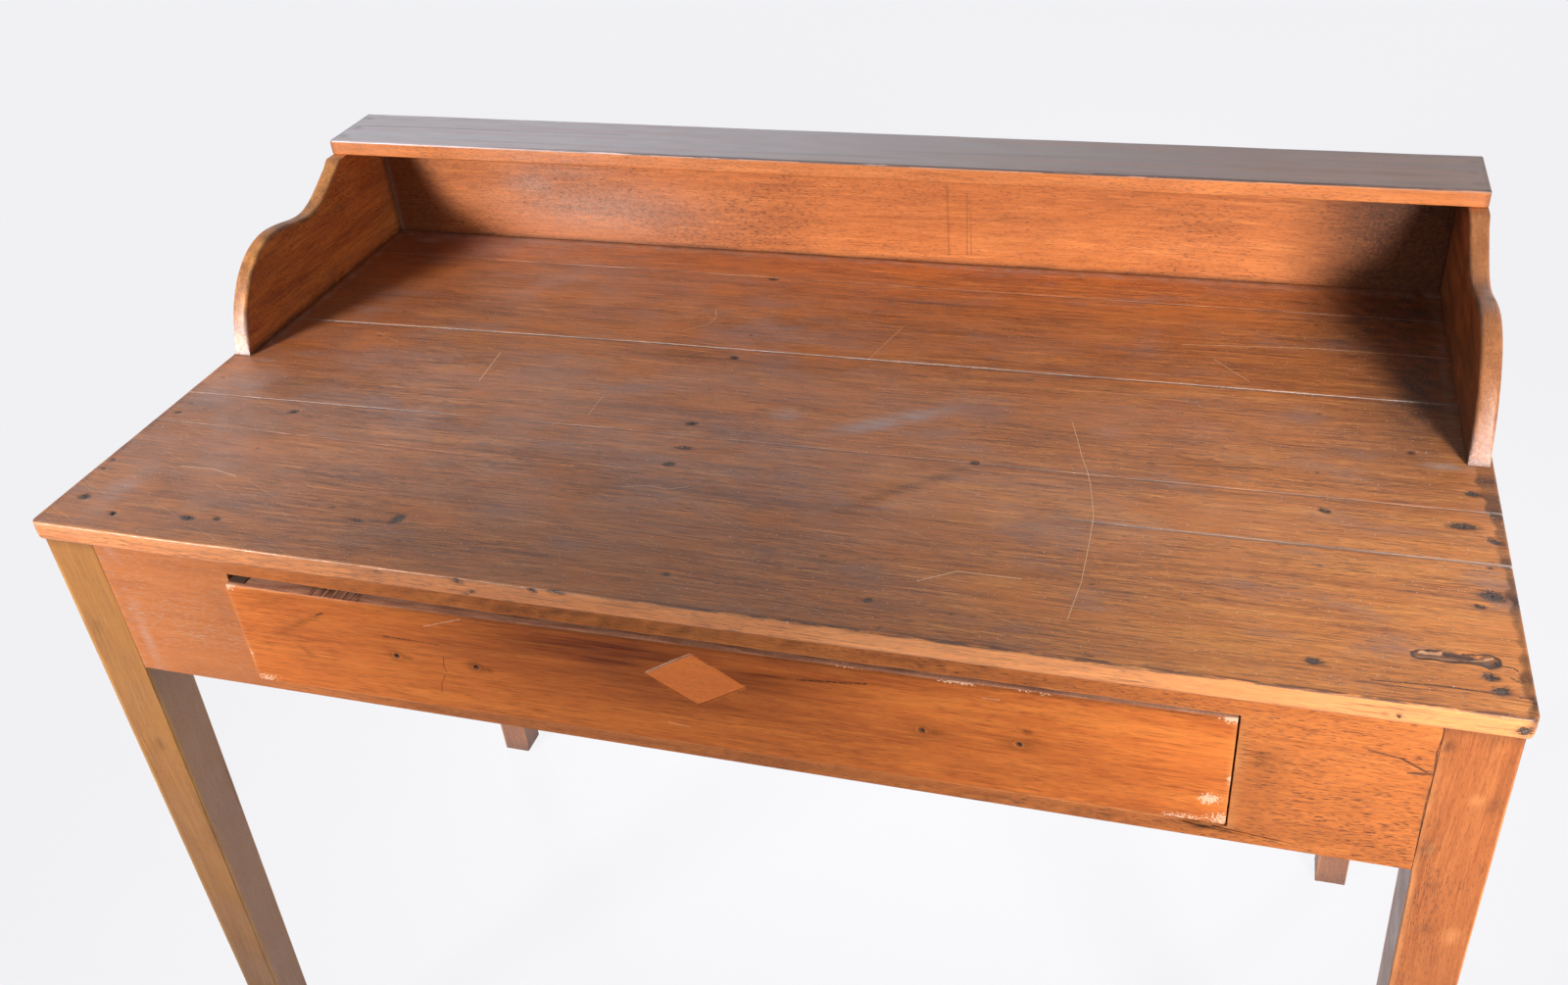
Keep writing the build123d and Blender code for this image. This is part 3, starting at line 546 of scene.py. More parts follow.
# Table top
# Pale grey of the bloom, also laid as painted reflection
BLOOM_AND_SHEEN = screen(186, 166, 164)
TOP_GLOW = screen(216, 126, 56)
TOP_FILM = screen(150, 116, 106)
TOP_LEFT_SHADE = screen(144, 88, 52)
TOP_BESIDE_GALLERY = screen(176, 92, 38)
TOP_SCRATCH = screen(238, 196, 154)
TOP_SPECK = screen(220, 200, 184)
# Painted light on the nosing's right half
LIT_NOSING = screen(252, 172, 110)
ARRIS_LINE = screen(58, 36, 30)
TORN_WOOD = screen(112, 70, 46)
TORN_RIDGE = screen(212, 162, 122)
TORN_RIM = screen(44, 28, 22)
TORN_KNOT = screen(140, 122, 124)
# Aprons and drawer
PALE_PORE = screen(232, 190, 158)
APRON_LEFT_SHADE = screen(146, 88, 52)
APRON_LINE = screen(58, 38, 28)
DRAWER_HEARTWOOD = screen(82, 26, 8)
DRAWER_LINE = screen(52, 26, 18)
# Grey of the sawn upper edge, paled as painted light
SAWN_EDGE_AND_PAINTED_LIGHT = (screen(150, 106, 86), screen(196, 146, 118))
SAW_TICK = screen(60, 38, 32)
SIDE_END_DARKENING = (screen(120, 84, 56), screen(58, 44, 38))
PUTTY = (screen(98, 60, 40), screen(146, 100, 72))
PUTTY_PIT = screen(40, 24, 18)
IRON_AND_RUST = (screen(52, 46, 48), screen(70, 42, 30))
# Gallery
SIDE_FILM = screen(170, 112, 84)
EDGE_FILM = screen(236, 226, 228)
# Dark and pale grey of the shelf's dust and painted sheen
SHELF_DUST_AND_SHEEN = (screen(112, 97, 93), screen(240, 230, 238))


# ---- Finishes ----

class Nodes:
    """Node tree. Its methods add nodes, and most hand back the socket that they end in."""

    def __init__(self, tree):
        self.tree = tree

    def add(self, kind, outlet, sockets, **settings):
        """Adds a node, sets it, and feeds its sockets with numbers, colours or other sockets."""
        node = self.tree.nodes.new(kind)
        for key, value in settings.items():
            setattr(node, key, value)
        for key, value in sockets.items():
            self.feed(node.inputs[key], value)
        return node.outputs[outlet]

    def feed(self, socket, value):
        """Links a socket to another one, or sets its number or colour."""
        if isinstance(value, bpy.types.NodeSocket):
            self.tree.links.new(value, socket)
        elif socket.type == "RGBA":
            socket.default_value = (*value, 1.0)
        else:
            socket.default_value = value

    def math(self, operation, *values):
        """Number that a Math node works out of one to three numbers."""
        return self.add("ShaderNodeMath", 0, dict(enumerate(values)), operation=operation)

    def fold(self, operation, values):
        """One number out of several, taken in one after another."""
        return reduce(lambda so_far, value: self.math(operation, so_far, value), values)

    def times(self, *values):
        """Product of several numbers."""
        return self.fold("MULTIPLY", values)

    def seen(self):
        """1 for camera, glossy and transmission rays, and 0 for the rest."""
        path = self.tree.nodes.new("ShaderNodeLightPath")
        rays = ("Camera", "Glossy", "Transmission")
        return self.fold("MAXIMUM", [path.outputs[f"Is {ray} Ray"] for ray in rays])


class Finish(Nodes):
    """Material whose colour and relief are laid on one coat after another."""

    def __init__(self, name):
        self.material = bpy.data.materials.new(name)
        self.material.use_nodes = True
        super().__init__(self.material.node_tree)
        self.shader = self.tree.nodes["Principled BSDF"]
        self.colour = None
        self.relief = None

    def vector(self, operation, *values, outlet="Vector"):
        """Vector that a Vector Math node works out, or a number such as a length, from its Value."""
        return self.add("ShaderNodeVectorMath", outlet, dict(enumerate(values)), operation=operation)

    def noise(self, where, rates, detail=2.0, roughness=0.5, outlet=0):
        """Perlin noise of 0 to 1 whose lumps are 1 / rate long on each axis."""
        stretched = self.vector("MULTIPLY", where, rates)
        sockets = {"Vector": stretched, "Scale": 1.0, "Detail": detail, "Roughness": roughness}
        return self.add("ShaderNodeTexNoise", outlet, sockets)

    def ease(self, value, low, high, to_low=0.0, to_high=1.0):
        """Smooth step of a socket between two values."""
        return self.add("ShaderNodeMapRange", 0, dict(enumerate((value, low, high, to_low, to_high))),
                        interpolation_type="SMOOTHSTEP")

    def mix(self, factor, first, second):
        """Colour part of the way from the first to the second."""
        return self.add("ShaderNodeMix", 2, {0: factor, 6: first, 7: second}, data_type="RGBA")

    def mark(self, name):
        """Vertex attribute of the mesh."""
        return self.add("ShaderNodeAttribute", "Fac", {}, attribute_name=name)

    def place(self):
        """Object coordinates in desk millimetres, as one vector."""
        where = self.add("ShaderNodeTexCoord", "Object", {})
        return self.vector("MULTIPLY_ADD", where, (1000.0,) * 3, (0.0, -EDGE_Y / MM, 0.0))

    def split(self, where):
        """The three parts of a vector."""
        node = self.tree.nodes.new("ShaderNodeSeparateXYZ")
        self.tree.links.new(where, node.inputs[0])
        return list(node.outputs)

    def join(self, x, y, z):
        """A vector from its three parts."""
        return self.add("ShaderNodeCombineXYZ", 0, {0: x, 1: y, 2: z})

    def near_line(self, where, start, end, half_width):
        """1 on a straight line from start to end and 0 past its half width, feathered.

        The distance is | p - a - (b - a) clamp((p - a) . (b - a) / |b - a|^2) |.
        """
        run = np.array(end, float) - np.array(start, float)
        offset = self.vector("SUBTRACT", where, tuple(start))
        share = self.vector("DOT_PRODUCT", offset, tuple(run / np.dot(run, run)), outlet="Value")
        held = self.add("ShaderNodeClamp", 0, {0: share})
        nearest = self.add("ShaderNodeVectorMath", "Vector", {0: tuple(run), "Scale": held},
                           operation="SCALE")
        distance = self.vector("DISTANCE", offset, nearest, outlet="Value")
        return self.ease(distance, half_width * 0.4, half_width, 1.0, 0.0)

    def drawn(self, flat, lines):
        """Strongest of several drawn lines: each is a half width and the points that it runs through."""
        return self.fold("MAXIMUM", [self.near_line(flat, (*start, 0.0), (*end, 0.0), half_width)
                                     for half_width, *points in lines
                                     for start, end in zip(points, points[1:])])

    def lay(self, tone, *shares):
        """Covers the colour with a tone, to the product of the shares."""
        self.colour = self.mix(self.times(*shares), self.colour, tone)

    def lower(self, *shares):
        """Takes the product of the shares off the relief."""
        self.relief = self.math("SUBTRACT", self.relief, self.times(*shares))

    def close(self, roughness, depth, coat=0.0, coat_roughness=0.2, gloss=0.5):
        """Feeds the shader. The relief, 0 to 1, stands for a height of depth metres."""
        bump = self.add("ShaderNodeBump", 0, {"Strength": 1.0, "Distance": depth, "Height": self.relief})
        sockets = {"Base Color": self.colour, "Roughness": roughness, "Coat Weight": coat,
                   "Coat Roughness": coat_roughness, "Specular IOR Level": gloss, "Normal": bump}
        for name, value in sockets.items():
            self.feed(self.shader.inputs[name], value)
        return self.material


GRAIN_ORDER = {"x": (0, 1, 2), "y": (1, 0, 2), "z": (2, 0, 1)}
BUMP = 0.00012                   # height of most reliefs, in metres


def grain(f, axis, tones, figure=0.45, streaks=0.4, threads=0.3, pores=0.45, pore_length=5.0, cloudy=0.25,
          seed=0.0):
    """Lays bare wood whose grain runs along an axis.

    tones are the light, middle and dark wood and the pores. Broad bands wander along the grain and
    carry light and dark streaks, fine threads and short narrow pores, each a noise stretched along
    the grain. Slow clouds say where streaks and pores crowd.
    """
    light, middle, dark, pore_tone = tones
    parts = f.split(f.place())
    along, across, deep = (parts[index] for index in GRAIN_ORDER[axis])
    straight = f.join(f.math("ADD", along, seed * 977.0), f.math("ADD", across, seed * 131.0), deep)
    sway = f.noise(straight, (0.0022, 0.006, 0.006), 2.0, outlet=1)
    where = f.vector("MULTIPLY_ADD", sway, (0.0, 26.0, 18.0), straight)
    bands = f.noise(where, (0.0034, 0.05, 0.045), 4.0, 0.62)
    lines = f.noise(where, (0.012, 0.3, 0.26), 4.0, 0.68)
    fine = f.noise(where, (0.035, 0.85, 0.7), 3.0, 0.65)
    dashes = f.noise(where, (1.0 / pore_length, 1.9, 1.9), 1.0, 0.4)
    clouds = f.noise(straight, (0.006, 0.016, 0.016), 3.0, 0.55)
    crowd = f.ease(clouds, 0.35, 0.62, 0.45, 1.0)
    f.colour = f.mix(f.ease(bands, 0.26, 0.5, figure, 0.0), middle, dark)
    f.lay(light, f.ease(bands, 0.5, 0.74, 0.0, figure))
    f.lay(dark, f.ease(clouds, 0.4, 0.7, 0.0, cloudy))
    f.lay(light, f.ease(lines, 0.32, 0.48, streaks, 0.0))
    f.lay(dark, f.ease(lines, 0.52, 0.7, 0.0, streaks), crowd)
    f.lay(light, f.ease(fine, 0.34, 0.48, threads * 0.5, 0.0))
    thread = f.ease(fine, 0.5, 0.68, 0.0, threads)
    f.lay(dark, thread)
    pore = f.times(f.ease(dashes, 0.57, 0.66, 0.0, pores), crowd)
    f.lay(pore_tone, pore)
    f.relief = f.math("SUBTRACT", 1.0, f.math("MAXIMUM", pore, f.times(thread, 0.7)))


def ragged(f, name, rates, spread, low, high):
    """A mark of the mesh whose soft rim is broken by noise and then sharpened: ease(mark + noise).

    The noise fades in with the mark, so nothing shows where the mesh isn't marked.
    """
    value = f.mark(name)
    lumps = f.math("SUBTRACT", f.noise(f.place(), rates, 3.0, 0.6), 0.5)
    swing = f.times(lumps, f.ease(value, 0.02, 0.2, 0.0, spread))
    return f.ease(f.math("ADD", value, swing), low, high)


def aged(f, worn=WORN_LIGHT, dust=DUST):
    """Lays worn wood, dirt, dust and the legs' painted shade where the mesh is marked, then patches rubbed
    bare.
    """
    crumbs = f.noise(f.place(), (0.45, 0.45, 0.45), 3.0, 0.6)
    coats = (("wear", worn, 0.3, 0.6, 0.8), ("grime", DIRT, 0.3, 0.6, 0.75),
             ("dust", dust, 0.35, 0.65, 0.45), ("tarnish", LEG_SHADE, 0.3, 0.6, 0.85))
    for name, tone, low, high, least in coats:
        f.lay(tone, f.mark(name), f.ease(crumbs, low, high, least, 1.0))
    f.lay(RUBBED, ragged(f, "rub", (0.6, 0.6, 0.6), 2.4, 0.42, 0.56), 0.75)


def scarred(f):
    """Cuts ragged dark pits with grey, dusty insides into a finish where the mesh is marked."""
    pit = ragged(f, "scar", (0.35, 0.9, 0.9), 1.9, 0.5, 0.64)
    f.lay(DIRT, f.ease(f.mark("scar"), 0.05, 0.45, 0.0, 0.35))
    f.lay(PIT, pit, 0.9)
    f.lay(PIT_DUST, ragged(f, "scar", (0.7, 1.1, 1.1), 1.4, 0.86, 1.04), 0.6)
    f.lower(pit)


def gouged(f, flat):
    """Lays the torn slot at the front right: brown inside, dark rims, pale ridges and a grey knot."""
    waver = f.noise(flat, (0.35, 0.5, 0.0), 3.0, outlet=1)
    wavy = f.vector("MULTIPLY_ADD", waver, (2.2, 2.2, 0.0), f.vector("SUBTRACT", flat, (1.1, 1.1, 0.0)))
    torn = f.ease(f.mark("gouge"), 0.25, 0.6, 0.0, 0.9)
    near = f.ease(f.mark("gouge"), 0.0, 0.05)
    f.lay(TORN_WOOD, torn)
    for lines, strength, tone in ((GOUGE_RIDGES, 0.62, TORN_RIDGE), (GOUGE_RIM, 0.85, TORN_RIM),
                                  (GOUGE_KNOT, 0.7, TORN_KNOT)):
        f.lay(tone, near, f.times(f.drawn(wavy, lines), strength))
    f.lower(torn, 0.6)


def sheen(f, base=0.42, swing=0.07):
    """Roughness that drifts by swing about a base, and rises where dust or dirt lies."""
    drift = f.noise(f.place(), (0.012, 0.03, 0.03), 4.0, 0.65)
    rough = f.ease(drift, 0.3, 0.7, base - swing, base + swing)
    dull = f.math("MAXIMUM", f.mark("dust"), f.mark("grime"))
    return f.math("MULTIPLY_ADD", dull, 0.25, rough)


def polished_wood(name, axis, tones, worn=WORN_LIGHT, polish=0.42, coat=0.06, **figure):
    """Old polish over wood, worn to bare wood along its arrises."""
    f = Finish(name)
    grain(f, axis, tones, **figure)
    aged(f, worn)
    return f.close(sheen(f, polish), BUMP, coat, 0.3, 0.4)


def hidden_wood(axis, seed):
    """Rough wood that was never polished, for the pieces under the top."""
    return polished_wood("Hidden_wood_" + axis, axis, HIDDEN_TONES, INSIDE_TONES[0], 0.8, 0.0, streaks=0.4,
                         pores=0.5, seed=seed)


def top_finish():
    """Polish of the table top: hazed partly by painted reflection, specked and scratched, and lighter
    towards the front right corner, as worn finish and painted light.
    """
    f = Finish("Top_polish")
    where = f.place()
    x, y, z = f.split(where)
    flat = f.join(x, y, 0.0)
    on_face = f.ease(z, TOP_FACE - 2.6, TOP_FACE - 1.4)
    # Painted light: the top takes its lit tones towards the front right, over a finish worn lighter there
    lit = f.times(f.ease(x, -60.0, 440.0), f.ease(y, 430.0, 120.0))
    rear = f.times(f.ease(y, 345.0, 365.0), f.ease(x, -420.0, 0.0))
    tones = [f.mix(on_face, edge, f.mix(rear, f.mix(lit, plain, bright), red)) for edge, plain, bright, red
             in zip(NOSING_TONES, TOP_TONES, TOP_LIT_TONES, TOP_REAR_TONES)]
    grain(f, "x", tones, figure=0.6, streaks=0.85, threads=0.7, pores=0.75, pore_length=9.0, cloudy=0.3)
    # Painted light over the right half of the nosing and the boards' lower sides
    f.lay(LIT_NOSING, f.ease(x, 20.0, 180.0, 0.0, 0.32), f.math("SUBTRACT", 1.0, on_face))
    f.lay(TOP_LEFT_SHADE, f.ease(x, -340.0, -460.0, 0.0, 0.42), on_face)
    f.lay(TOP_BESIDE_GALLERY, f.ease(x, -350.0, -430.0), f.ease(y, 225.0, 285.0, 0.0, 0.4), on_face)
    streaks = f.noise(where, (0.014, 0.42, 0.42), 3.0, 0.65)
    f.lay(TOP_TONES[2], f.ease(streaks, 0.54, 0.7, 0.0, 0.6))
    f.lay(TOP_GLOW, f.ease(streaks, 0.46, 0.3, 0.0, 0.5), on_face)
    tint = f.noise(where, (0.01, 0.026, 0.0), 4.0, 0.62)
    f.lay(TOP_GLOW, f.ease(tint, 0.5, 0.7, 0.0, 0.5), on_face)
    f.lay(TOP_FILM, f.ease(tint, 0.48, 0.3, 0.0, 0.5), on_face)
    aged(f)
    fray = f.ease(f.noise(where, (0.5, 0.5, 0.5), 2.0), 0.3, 0.5, 0.4, 0.95)
    f.lay(PIT, f.drawn(flat, CRACKS), on_face, fray)
    scratch = f.times(f.drawn(flat, SCRATCHES), fray, on_face)
    for turn, rate_along, rate_across, low in ((0.42, 0.009, 0.8, 0.69), (-0.6, 0.012, 0.95, 0.7)):
        turned = f.add("ShaderNodeVectorRotate", 0, {"Vector": where, "Angle": turn},
                       rotation_type="Z_AXIS")
        hair = f.noise(turned, (rate_along, rate_across, 0.0), 1.0, 0.5)
        hair = f.times(f.ease(hair, low, low + 0.05, 0.0, 0.26), on_face)
        scratch = f.math("MAXIMUM", scratch, hair)
    f.lay(TOP_SCRATCH, scratch)
    f.lay(TOP_SPECK, f.ease(f.noise(where, (0.5, 0.6, 0.6), 0.0), 0.77, 0.82, 0.0, 0.7), on_face)
    cloudy = f.ease(f.noise(where, (0.02, 0.035, 0.035), 4.0, 0.6), 0.3, 0.62, 0.15, 1.0)
    wiped = f.ease(f.noise(where, (0.02, 0.3, 0.3), 3.0, 0.65), 0.35, 0.6, 0.6, 1.0)
    # Bloom and dust, with a painted reflection where the patches are broad
    bloom = f.times(f.mark("bloom"), cloudy, wiped)
    f.lay(BLOOM_AND_SHEEN, bloom)
    scarred(f)
    gouged(f, flat)
    broken = f.ease(f.noise(where, (0.03, 0.5, 0.5), 3.0, 0.7), 0.42, 0.5)
    f.lay(ARRIS_LINE, f.mark("arris"), broken, 0.85)
    f.lower(scratch, 0.6)
    return f.close(f.math("MULTIPLY_ADD", bloom, 0.2, sheen(f, 0.38)), 0.00018, 0.15, 0.28)


# Dark lines of the front apron, as x and z on its face: the split at its right joint and the joint itself
APRON_LINES = (
    (0.6, (459, 716), (480, 712)), (1.1, (480, 712), (497, 703)), (1.2, (485, 701), (502, 703)),
    (0.7, (499.0, 752), (500.0, 735), (498.6, 722), (500.0, 700), (499.0, 679), (500.0, 627)),
)


def apron_finish():
    """Front apron: pale pores at its left end and dark ones at its right, split at the right joint."""
    f = Finish("Apron_polish")
    where = f.place()
    x, y, z = f.split(where)
    pore_tone = f.mix(f.ease(x, -395.0, -365.0, 0.62, 0.0), APRON_TONES[3], PALE_PORE)
    grain(f, "x", (*APRON_TONES[:3], pore_tone), streaks=0.45, threads=0.45, pores=0.9, pore_length=6.5,
          seed=4.0)
    f.lay(APRON_LEFT_SHADE, f.ease(x, -330.0, -400.0, 0.0, 0.36))
    aged(f)
    fray = f.ease(f.noise(where, (0.5, 0.5, 0.5), 2.0), 0.3, 0.5, 0.45, 1.0)
    on_face = f.ease(y, FRAME_FRONT + 1.0, FRAME_FRONT + 0.5)
    lines = f.times(f.drawn(f.join(x, z, 0.0), APRON_LINES), fray, on_face)
    f.lay(APRON_LINE, lines, 0.85)
    f.lower(lines)
    return f.close(sheen(f), 0.00015, gloss=0.25)


# Dark drawn marks and pale scratches of the drawer front, as x and z on its face
DRAWER_LINES = (
    (1.0, (-246, 696.4), (-232, 695.8), (-222, 696)), (0.6, (-222, 696), (-199, 695.4)),
    (0.45, (-198, 683), (-200, 674), (-199, 668)), (0.4, (-201, 664), (-206, 655), (-208, 646)),
    (1.1, (84, 709.5), (112, 712), (134, 714.5)), (1.3, (-295, 711.2), (-301, 708.6)),
)
DRAWER_SCRATCHES = (
    (0.6, (-208, 712), (-175, 724)), (0.5, (-20, 650), (-4, 648)), (0.5, (214, 716), (226, 716)),
    (1.1, (-31, 697), (-8, 712)), (0.6, (-8, 712), (5, 720)),
)
SAW_MARKS_X = (-310.0, -255.0)


def drawer_finish():
    """Drawer front: silky wood, dark at its heart round the inlay, its upper edge grey and saw-marked."""
    f = Finish("Drawer_front_polish")
    where = f.place()
    x, y, z = f.split(where)
    grain(f, "x", DRAWER_TONES, figure=0.6, streaks=0.45, threads=0.45, pores=0.4, pore_length=12.0,
          seed=10.0)
    f.lay(DRAWER_HEARTWOOD, f.mark("heart"),
          f.ease(f.noise(where, (0.012, 0.35, 0.35), 4.0, 0.65), 0.36, 0.62, 0.7, 1.0))
    aged(f)
    flat = f.join(x, z, 0.0)
    on_face = f.ease(y, 6.0, 4.0)
    fray = f.ease(f.noise(where, (0.7, 0.7, 0.7), 2.0), 0.34, 0.52, 0.3, 1.0)
    lines = f.times(f.drawn(flat, DRAWER_LINES), fray, on_face)
    f.lay(DRAWER_LINE, lines, 0.8)
    f.lay(RUBBED, f.drawn(flat, DRAWER_SCRATCHES), fray, on_face, 0.5)
    sawn = f.times(f.ease(x, SAW_MARKS_X[0], SAW_MARKS_X[0] + 4.0),
                   f.ease(x, SAW_MARKS_X[1], SAW_MARKS_X[1] - 4.0))
    ticks = f.ease(f.noise(where, (0.5, 0.02, 0.0), 2.0, 0.7), 0.46, 0.54)
    # Grey sawn wood on the upper edge, its tones made paler as painted light against the shade under the
    # rail
    edge = f.mix(f.ease(f.noise(where, (0.03, 0.25, 0.0), 3.0, 0.6), 0.35, 0.65), *SAWN_EDGE_AND_PAINTED_LIGHT)
    edge = f.mix(f.times(ticks, f.math("MULTIPLY_ADD", sawn, 0.65, 0.15)), edge, SAW_TICK)
    f.lay(edge, f.ease(z, DRAWER_Z[1] - 0.5, DRAWER_Z[1] - 0.2), 0.92)
    f.lower(lines)
    return f.close(sheen(f), BUMP, gloss=0.12)


def drawer_side_finish(name):
    """Drawer side: bare wood, darker towards its front end and the tails' end grain."""
    f = Finish(f"Drawer_{name}_side_wood")
    grain(f, "y", INSIDE_TONES, streaks=0.35, pores=0.4, seed=12.0)
    y = f.split(f.place())[1]
    f.lay(SIDE_END_DARKENING[0], f.ease(y, 200.0, 20.0, 0.0, 0.3))
    f.lay(SIDE_END_DARKENING[1], f.ease(y, 46.0, 16.0, 0.0, 0.86))
    return f.close(0.75, BUMP, gloss=0.3)


def gallery_side_finish(name, tones, film, inner_film_and_shade):
    """Gallery side: streaky polish, its inner face filmed on the left side and darkened as painted shade on
    the right, darker at its foot and by the back board.
    """
    f = Finish(f"Gallery_{name}_side_polish")
    grain(f, "y", tones, figure=0.6, streaks=0.6, threads=0.6, pores=0.9, pore_length=4.0, cloudy=0.5,
          seed=7.0)
    where = f.place()
    x, y, z = f.split(where)
    # On the right side this film is the dirt tone, painted shade over the inner face
    inner = f.ease(f.math("ABSOLUTE", x), GALLERY_HALF - 13.5, GALLERY_HALF - 15.0, 0.0, inner_film_and_shade)
    f.lay(film, inner, f.ease(f.noise(where, (0.006, 0.012, 0.06), 4.0, 0.62), 0.36, 0.66, 0.1, 1.0))
    ragged_foot = f.noise(where, (0.1, 0.1, 0.24), 4.0, 0.7)
    reach = f.math("MULTIPLY_ADD", ragged_foot, -14.0, f.math("SUBTRACT", z, TOP_FACE))
    f.lay(DIRT, f.ease(reach, 2.0, -9.0, 0.0, 0.8))
    f.lay(DIRT, f.ease(y, BACK_LOW[1] - 10.0, BACK_LOW[1], 0.0, 0.5))
    aged(f, dust=EDGE_FILM)
    return f.close(sheen(f, 0.4, 0.08), BUMP, 0.1, 0.3, 0.4)


# The crack in the shelf, and faint upright scores of the gallery's back board, as drawn lines
SHELF_CRACK = ((0.7, (-546, 537), (-498, 538.6), (-438, 539.4), (-364, 539)),
               (0.4, (-364, 539), (-236, 541)))
BACK_SCORES = ((1.6, (80, 771), (79.4, 845)), (1.4, (98, 773), (98.6, 836)), (1.1, (102, 773), (102, 815)),
               (0.8, (149, 835), (149, 843)), (0.6, (-390, 800), (-386, 840)))


def shelf_finish():
    """Gallery shelf: grey on top with old dust and a painted sheen, a broken dark line along its front
    arris.
    """
    f = Finish("Gallery_shelf_polish")
    where = f.place()
    grain(f, "x", SHELF_TONES, streaks=0.5, pores=0.6, seed=9.0)
    x, y, z = f.split(where)
    upper = f.ease(z, SHELF_HIGH[2] - 1.5, SHELF_HIGH[2] - 1.0)
    # Grey film on the upper face, paler to the left: old dust, and a painted sheen in place of a glossy
    # coat
    film = f.ease(f.noise(where, (0.004, 0.12, 0.12), 4.0, 0.62), 0.3, 0.65, 0.74, 0.97)
    f.lay(f.mix(f.ease(x, 520.0, -360.0), *SHELF_DUST_AND_SHEEN), film, f.ease(x, 540.0, -300.0, 0.85, 1.08), upper)
    f.lay(PIT, f.drawn(f.join(x, y, 0.0), SHELF_CRACK), upper, 0.75)
    aged(f)
    broken = f.ease(f.noise(where, (0.02, 0.5, 0.5), 3.0, 0.7), 0.34, 0.44)
    f.lay(PIT, f.mark("arris"), broken, 0.8)
    return f.close(sheen(f, 0.34, 0.05), 0.0001, 0.25, 0.22, 0.55)


def gallery_back_finish():
    """Gallery's back board: short dark pores, cloudy polish and a few upright scores."""
    f = Finish("Gallery_back_polish")
    grain(f, "x", GALLERY_TONES, streaks=0.45, threads=0.45, pores=0.9, cloudy=0.45, seed=8.0)
    aged(f)
    x, _, z = f.split(f.place())
    f.lay(DIRT, f.drawn(f.join(x, z, 0.0), BACK_SCORES), 0.24)
    return f.close(sheen(f), BUMP, 0.06, 0.3, 0.4)


def iron_finish():
    """Dark old iron with brown bloom."""
    f = Finish("Old_iron")
    where = f.place()
    f.colour = f.mix(f.ease(f.noise(where, (0.7, 0.7, 0.7), 3.0, 0.6), 0.4, 0.62), *IRON_AND_RUST)
    f.relief = f.noise(where, (2.2, 2.2, 2.2), 2.0, 0.6)
    f.shader.inputs["Metallic"].default_value = 0.35
    return f.close(f.ease(f.relief, 0.3, 0.7, 0.5, 0.8), 0.00015)


def putty_finish():
    """Brownish putty in the handles' holes, dark in its pit."""
    f = Finish("Hole_putty")
    f.relief = f.noise(f.place(), (1.4, 1.4, 1.4), 3.0, 0.6)
    f.colour = f.mix(f.ease(f.relief, 0.35, 0.65), *PUTTY)
    f.lay(PUTTY_PIT, f.mark("grime"))
    return f.close(0.8, 0.0002, gloss=0.1)


def floor_finish(settings):
    """Pale studio floor: shown pale to the camera and to glossy rays, and still taking a shadow."""
    f = Finish("Studio_floor")
    tone = tuple(settings.floor_colour)
    f.feed(f.shader.inputs["Base Color"], tone)
    f.shader.inputs["Roughness"].default_value = 0.9
    glow = f.add("ShaderNodeEmission", 0, {"Color": tone, "Strength": 1.0})
    share = f.times(f.seen(), settings.floor_glow)
    shown = f.add("ShaderNodeMixShader", 0, {0: share, 1: f.shader.outputs[0], 2: glow})
    f.tree.links.new(shown, f.tree.nodes["Material Output"].inputs["Surface"])
    return f.material


# ---- Table top ----

# Grey dust round the feet of the gallery's sides: x, y, half length, half width, turn, strength
FOOT_DUST = ((514, 268, 14, 4, 0, 0.85), (-513, 268, 12, 3, 0, 0.5),
             (-486, 536, 14, 5, 0, 0.8), (-470, 545, 30, 3, 0, 0.6))
JOINT_DUST = (0.0, 0.35, 1.0, 0.2)       # how pale the dirt in each joint is, front to back
JOINT_DIRT = (0.12, 0.5, 0.75, 0.45)     # how dark it is beside that
JOINT_ROUND = (0.3, 0.6, 1.1, 0.5)       # arris of the boards at each joint


def joint_y(number, x):
    """Where the joint behind a board lies at x: straight lines between its three given points."""
    return np.interp(x, JOINT_X, JOINTS[number - 1])


def gouge(x, y):
    """Share of the gouge's depth at each point: a ragged slot with soft sides."""
    ragged = 1.2 * ripple(5, 16.0, x)
    inside_x = ease(x, GOUGE_X[0], GOUGE_X[0] + 4.0) * ease(x, GOUGE_X[1], GOUGE_X[1] - 4.0)
    return inside_x * ease(y, GOUGE_Y[0] + ragged, GOUGE_Y[0] + 3.0 + ragged) * ease(
        y, GOUGE_Y[1] + ragged, GOUGE_Y[1] - 3.0 + ragged)


def nail_spots(reach):
    """Ellipses over every nail mark and dent of the top, grown by reach, weaker where it is short."""
    rows = (NAILS_LEFT_END + NAILS_RIGHT_END + NAILS_CENTRE + NAILS_LEFT_BATTEN + NAILS_RIGHT_BATTEN
            + NAILS_REAR + DENTS)
    return [(x, y, long / 2 + reach, wide / 2 + reach, turn, min(1.0, long / 7.0))
            for x, y, long, wide, turn in rows]


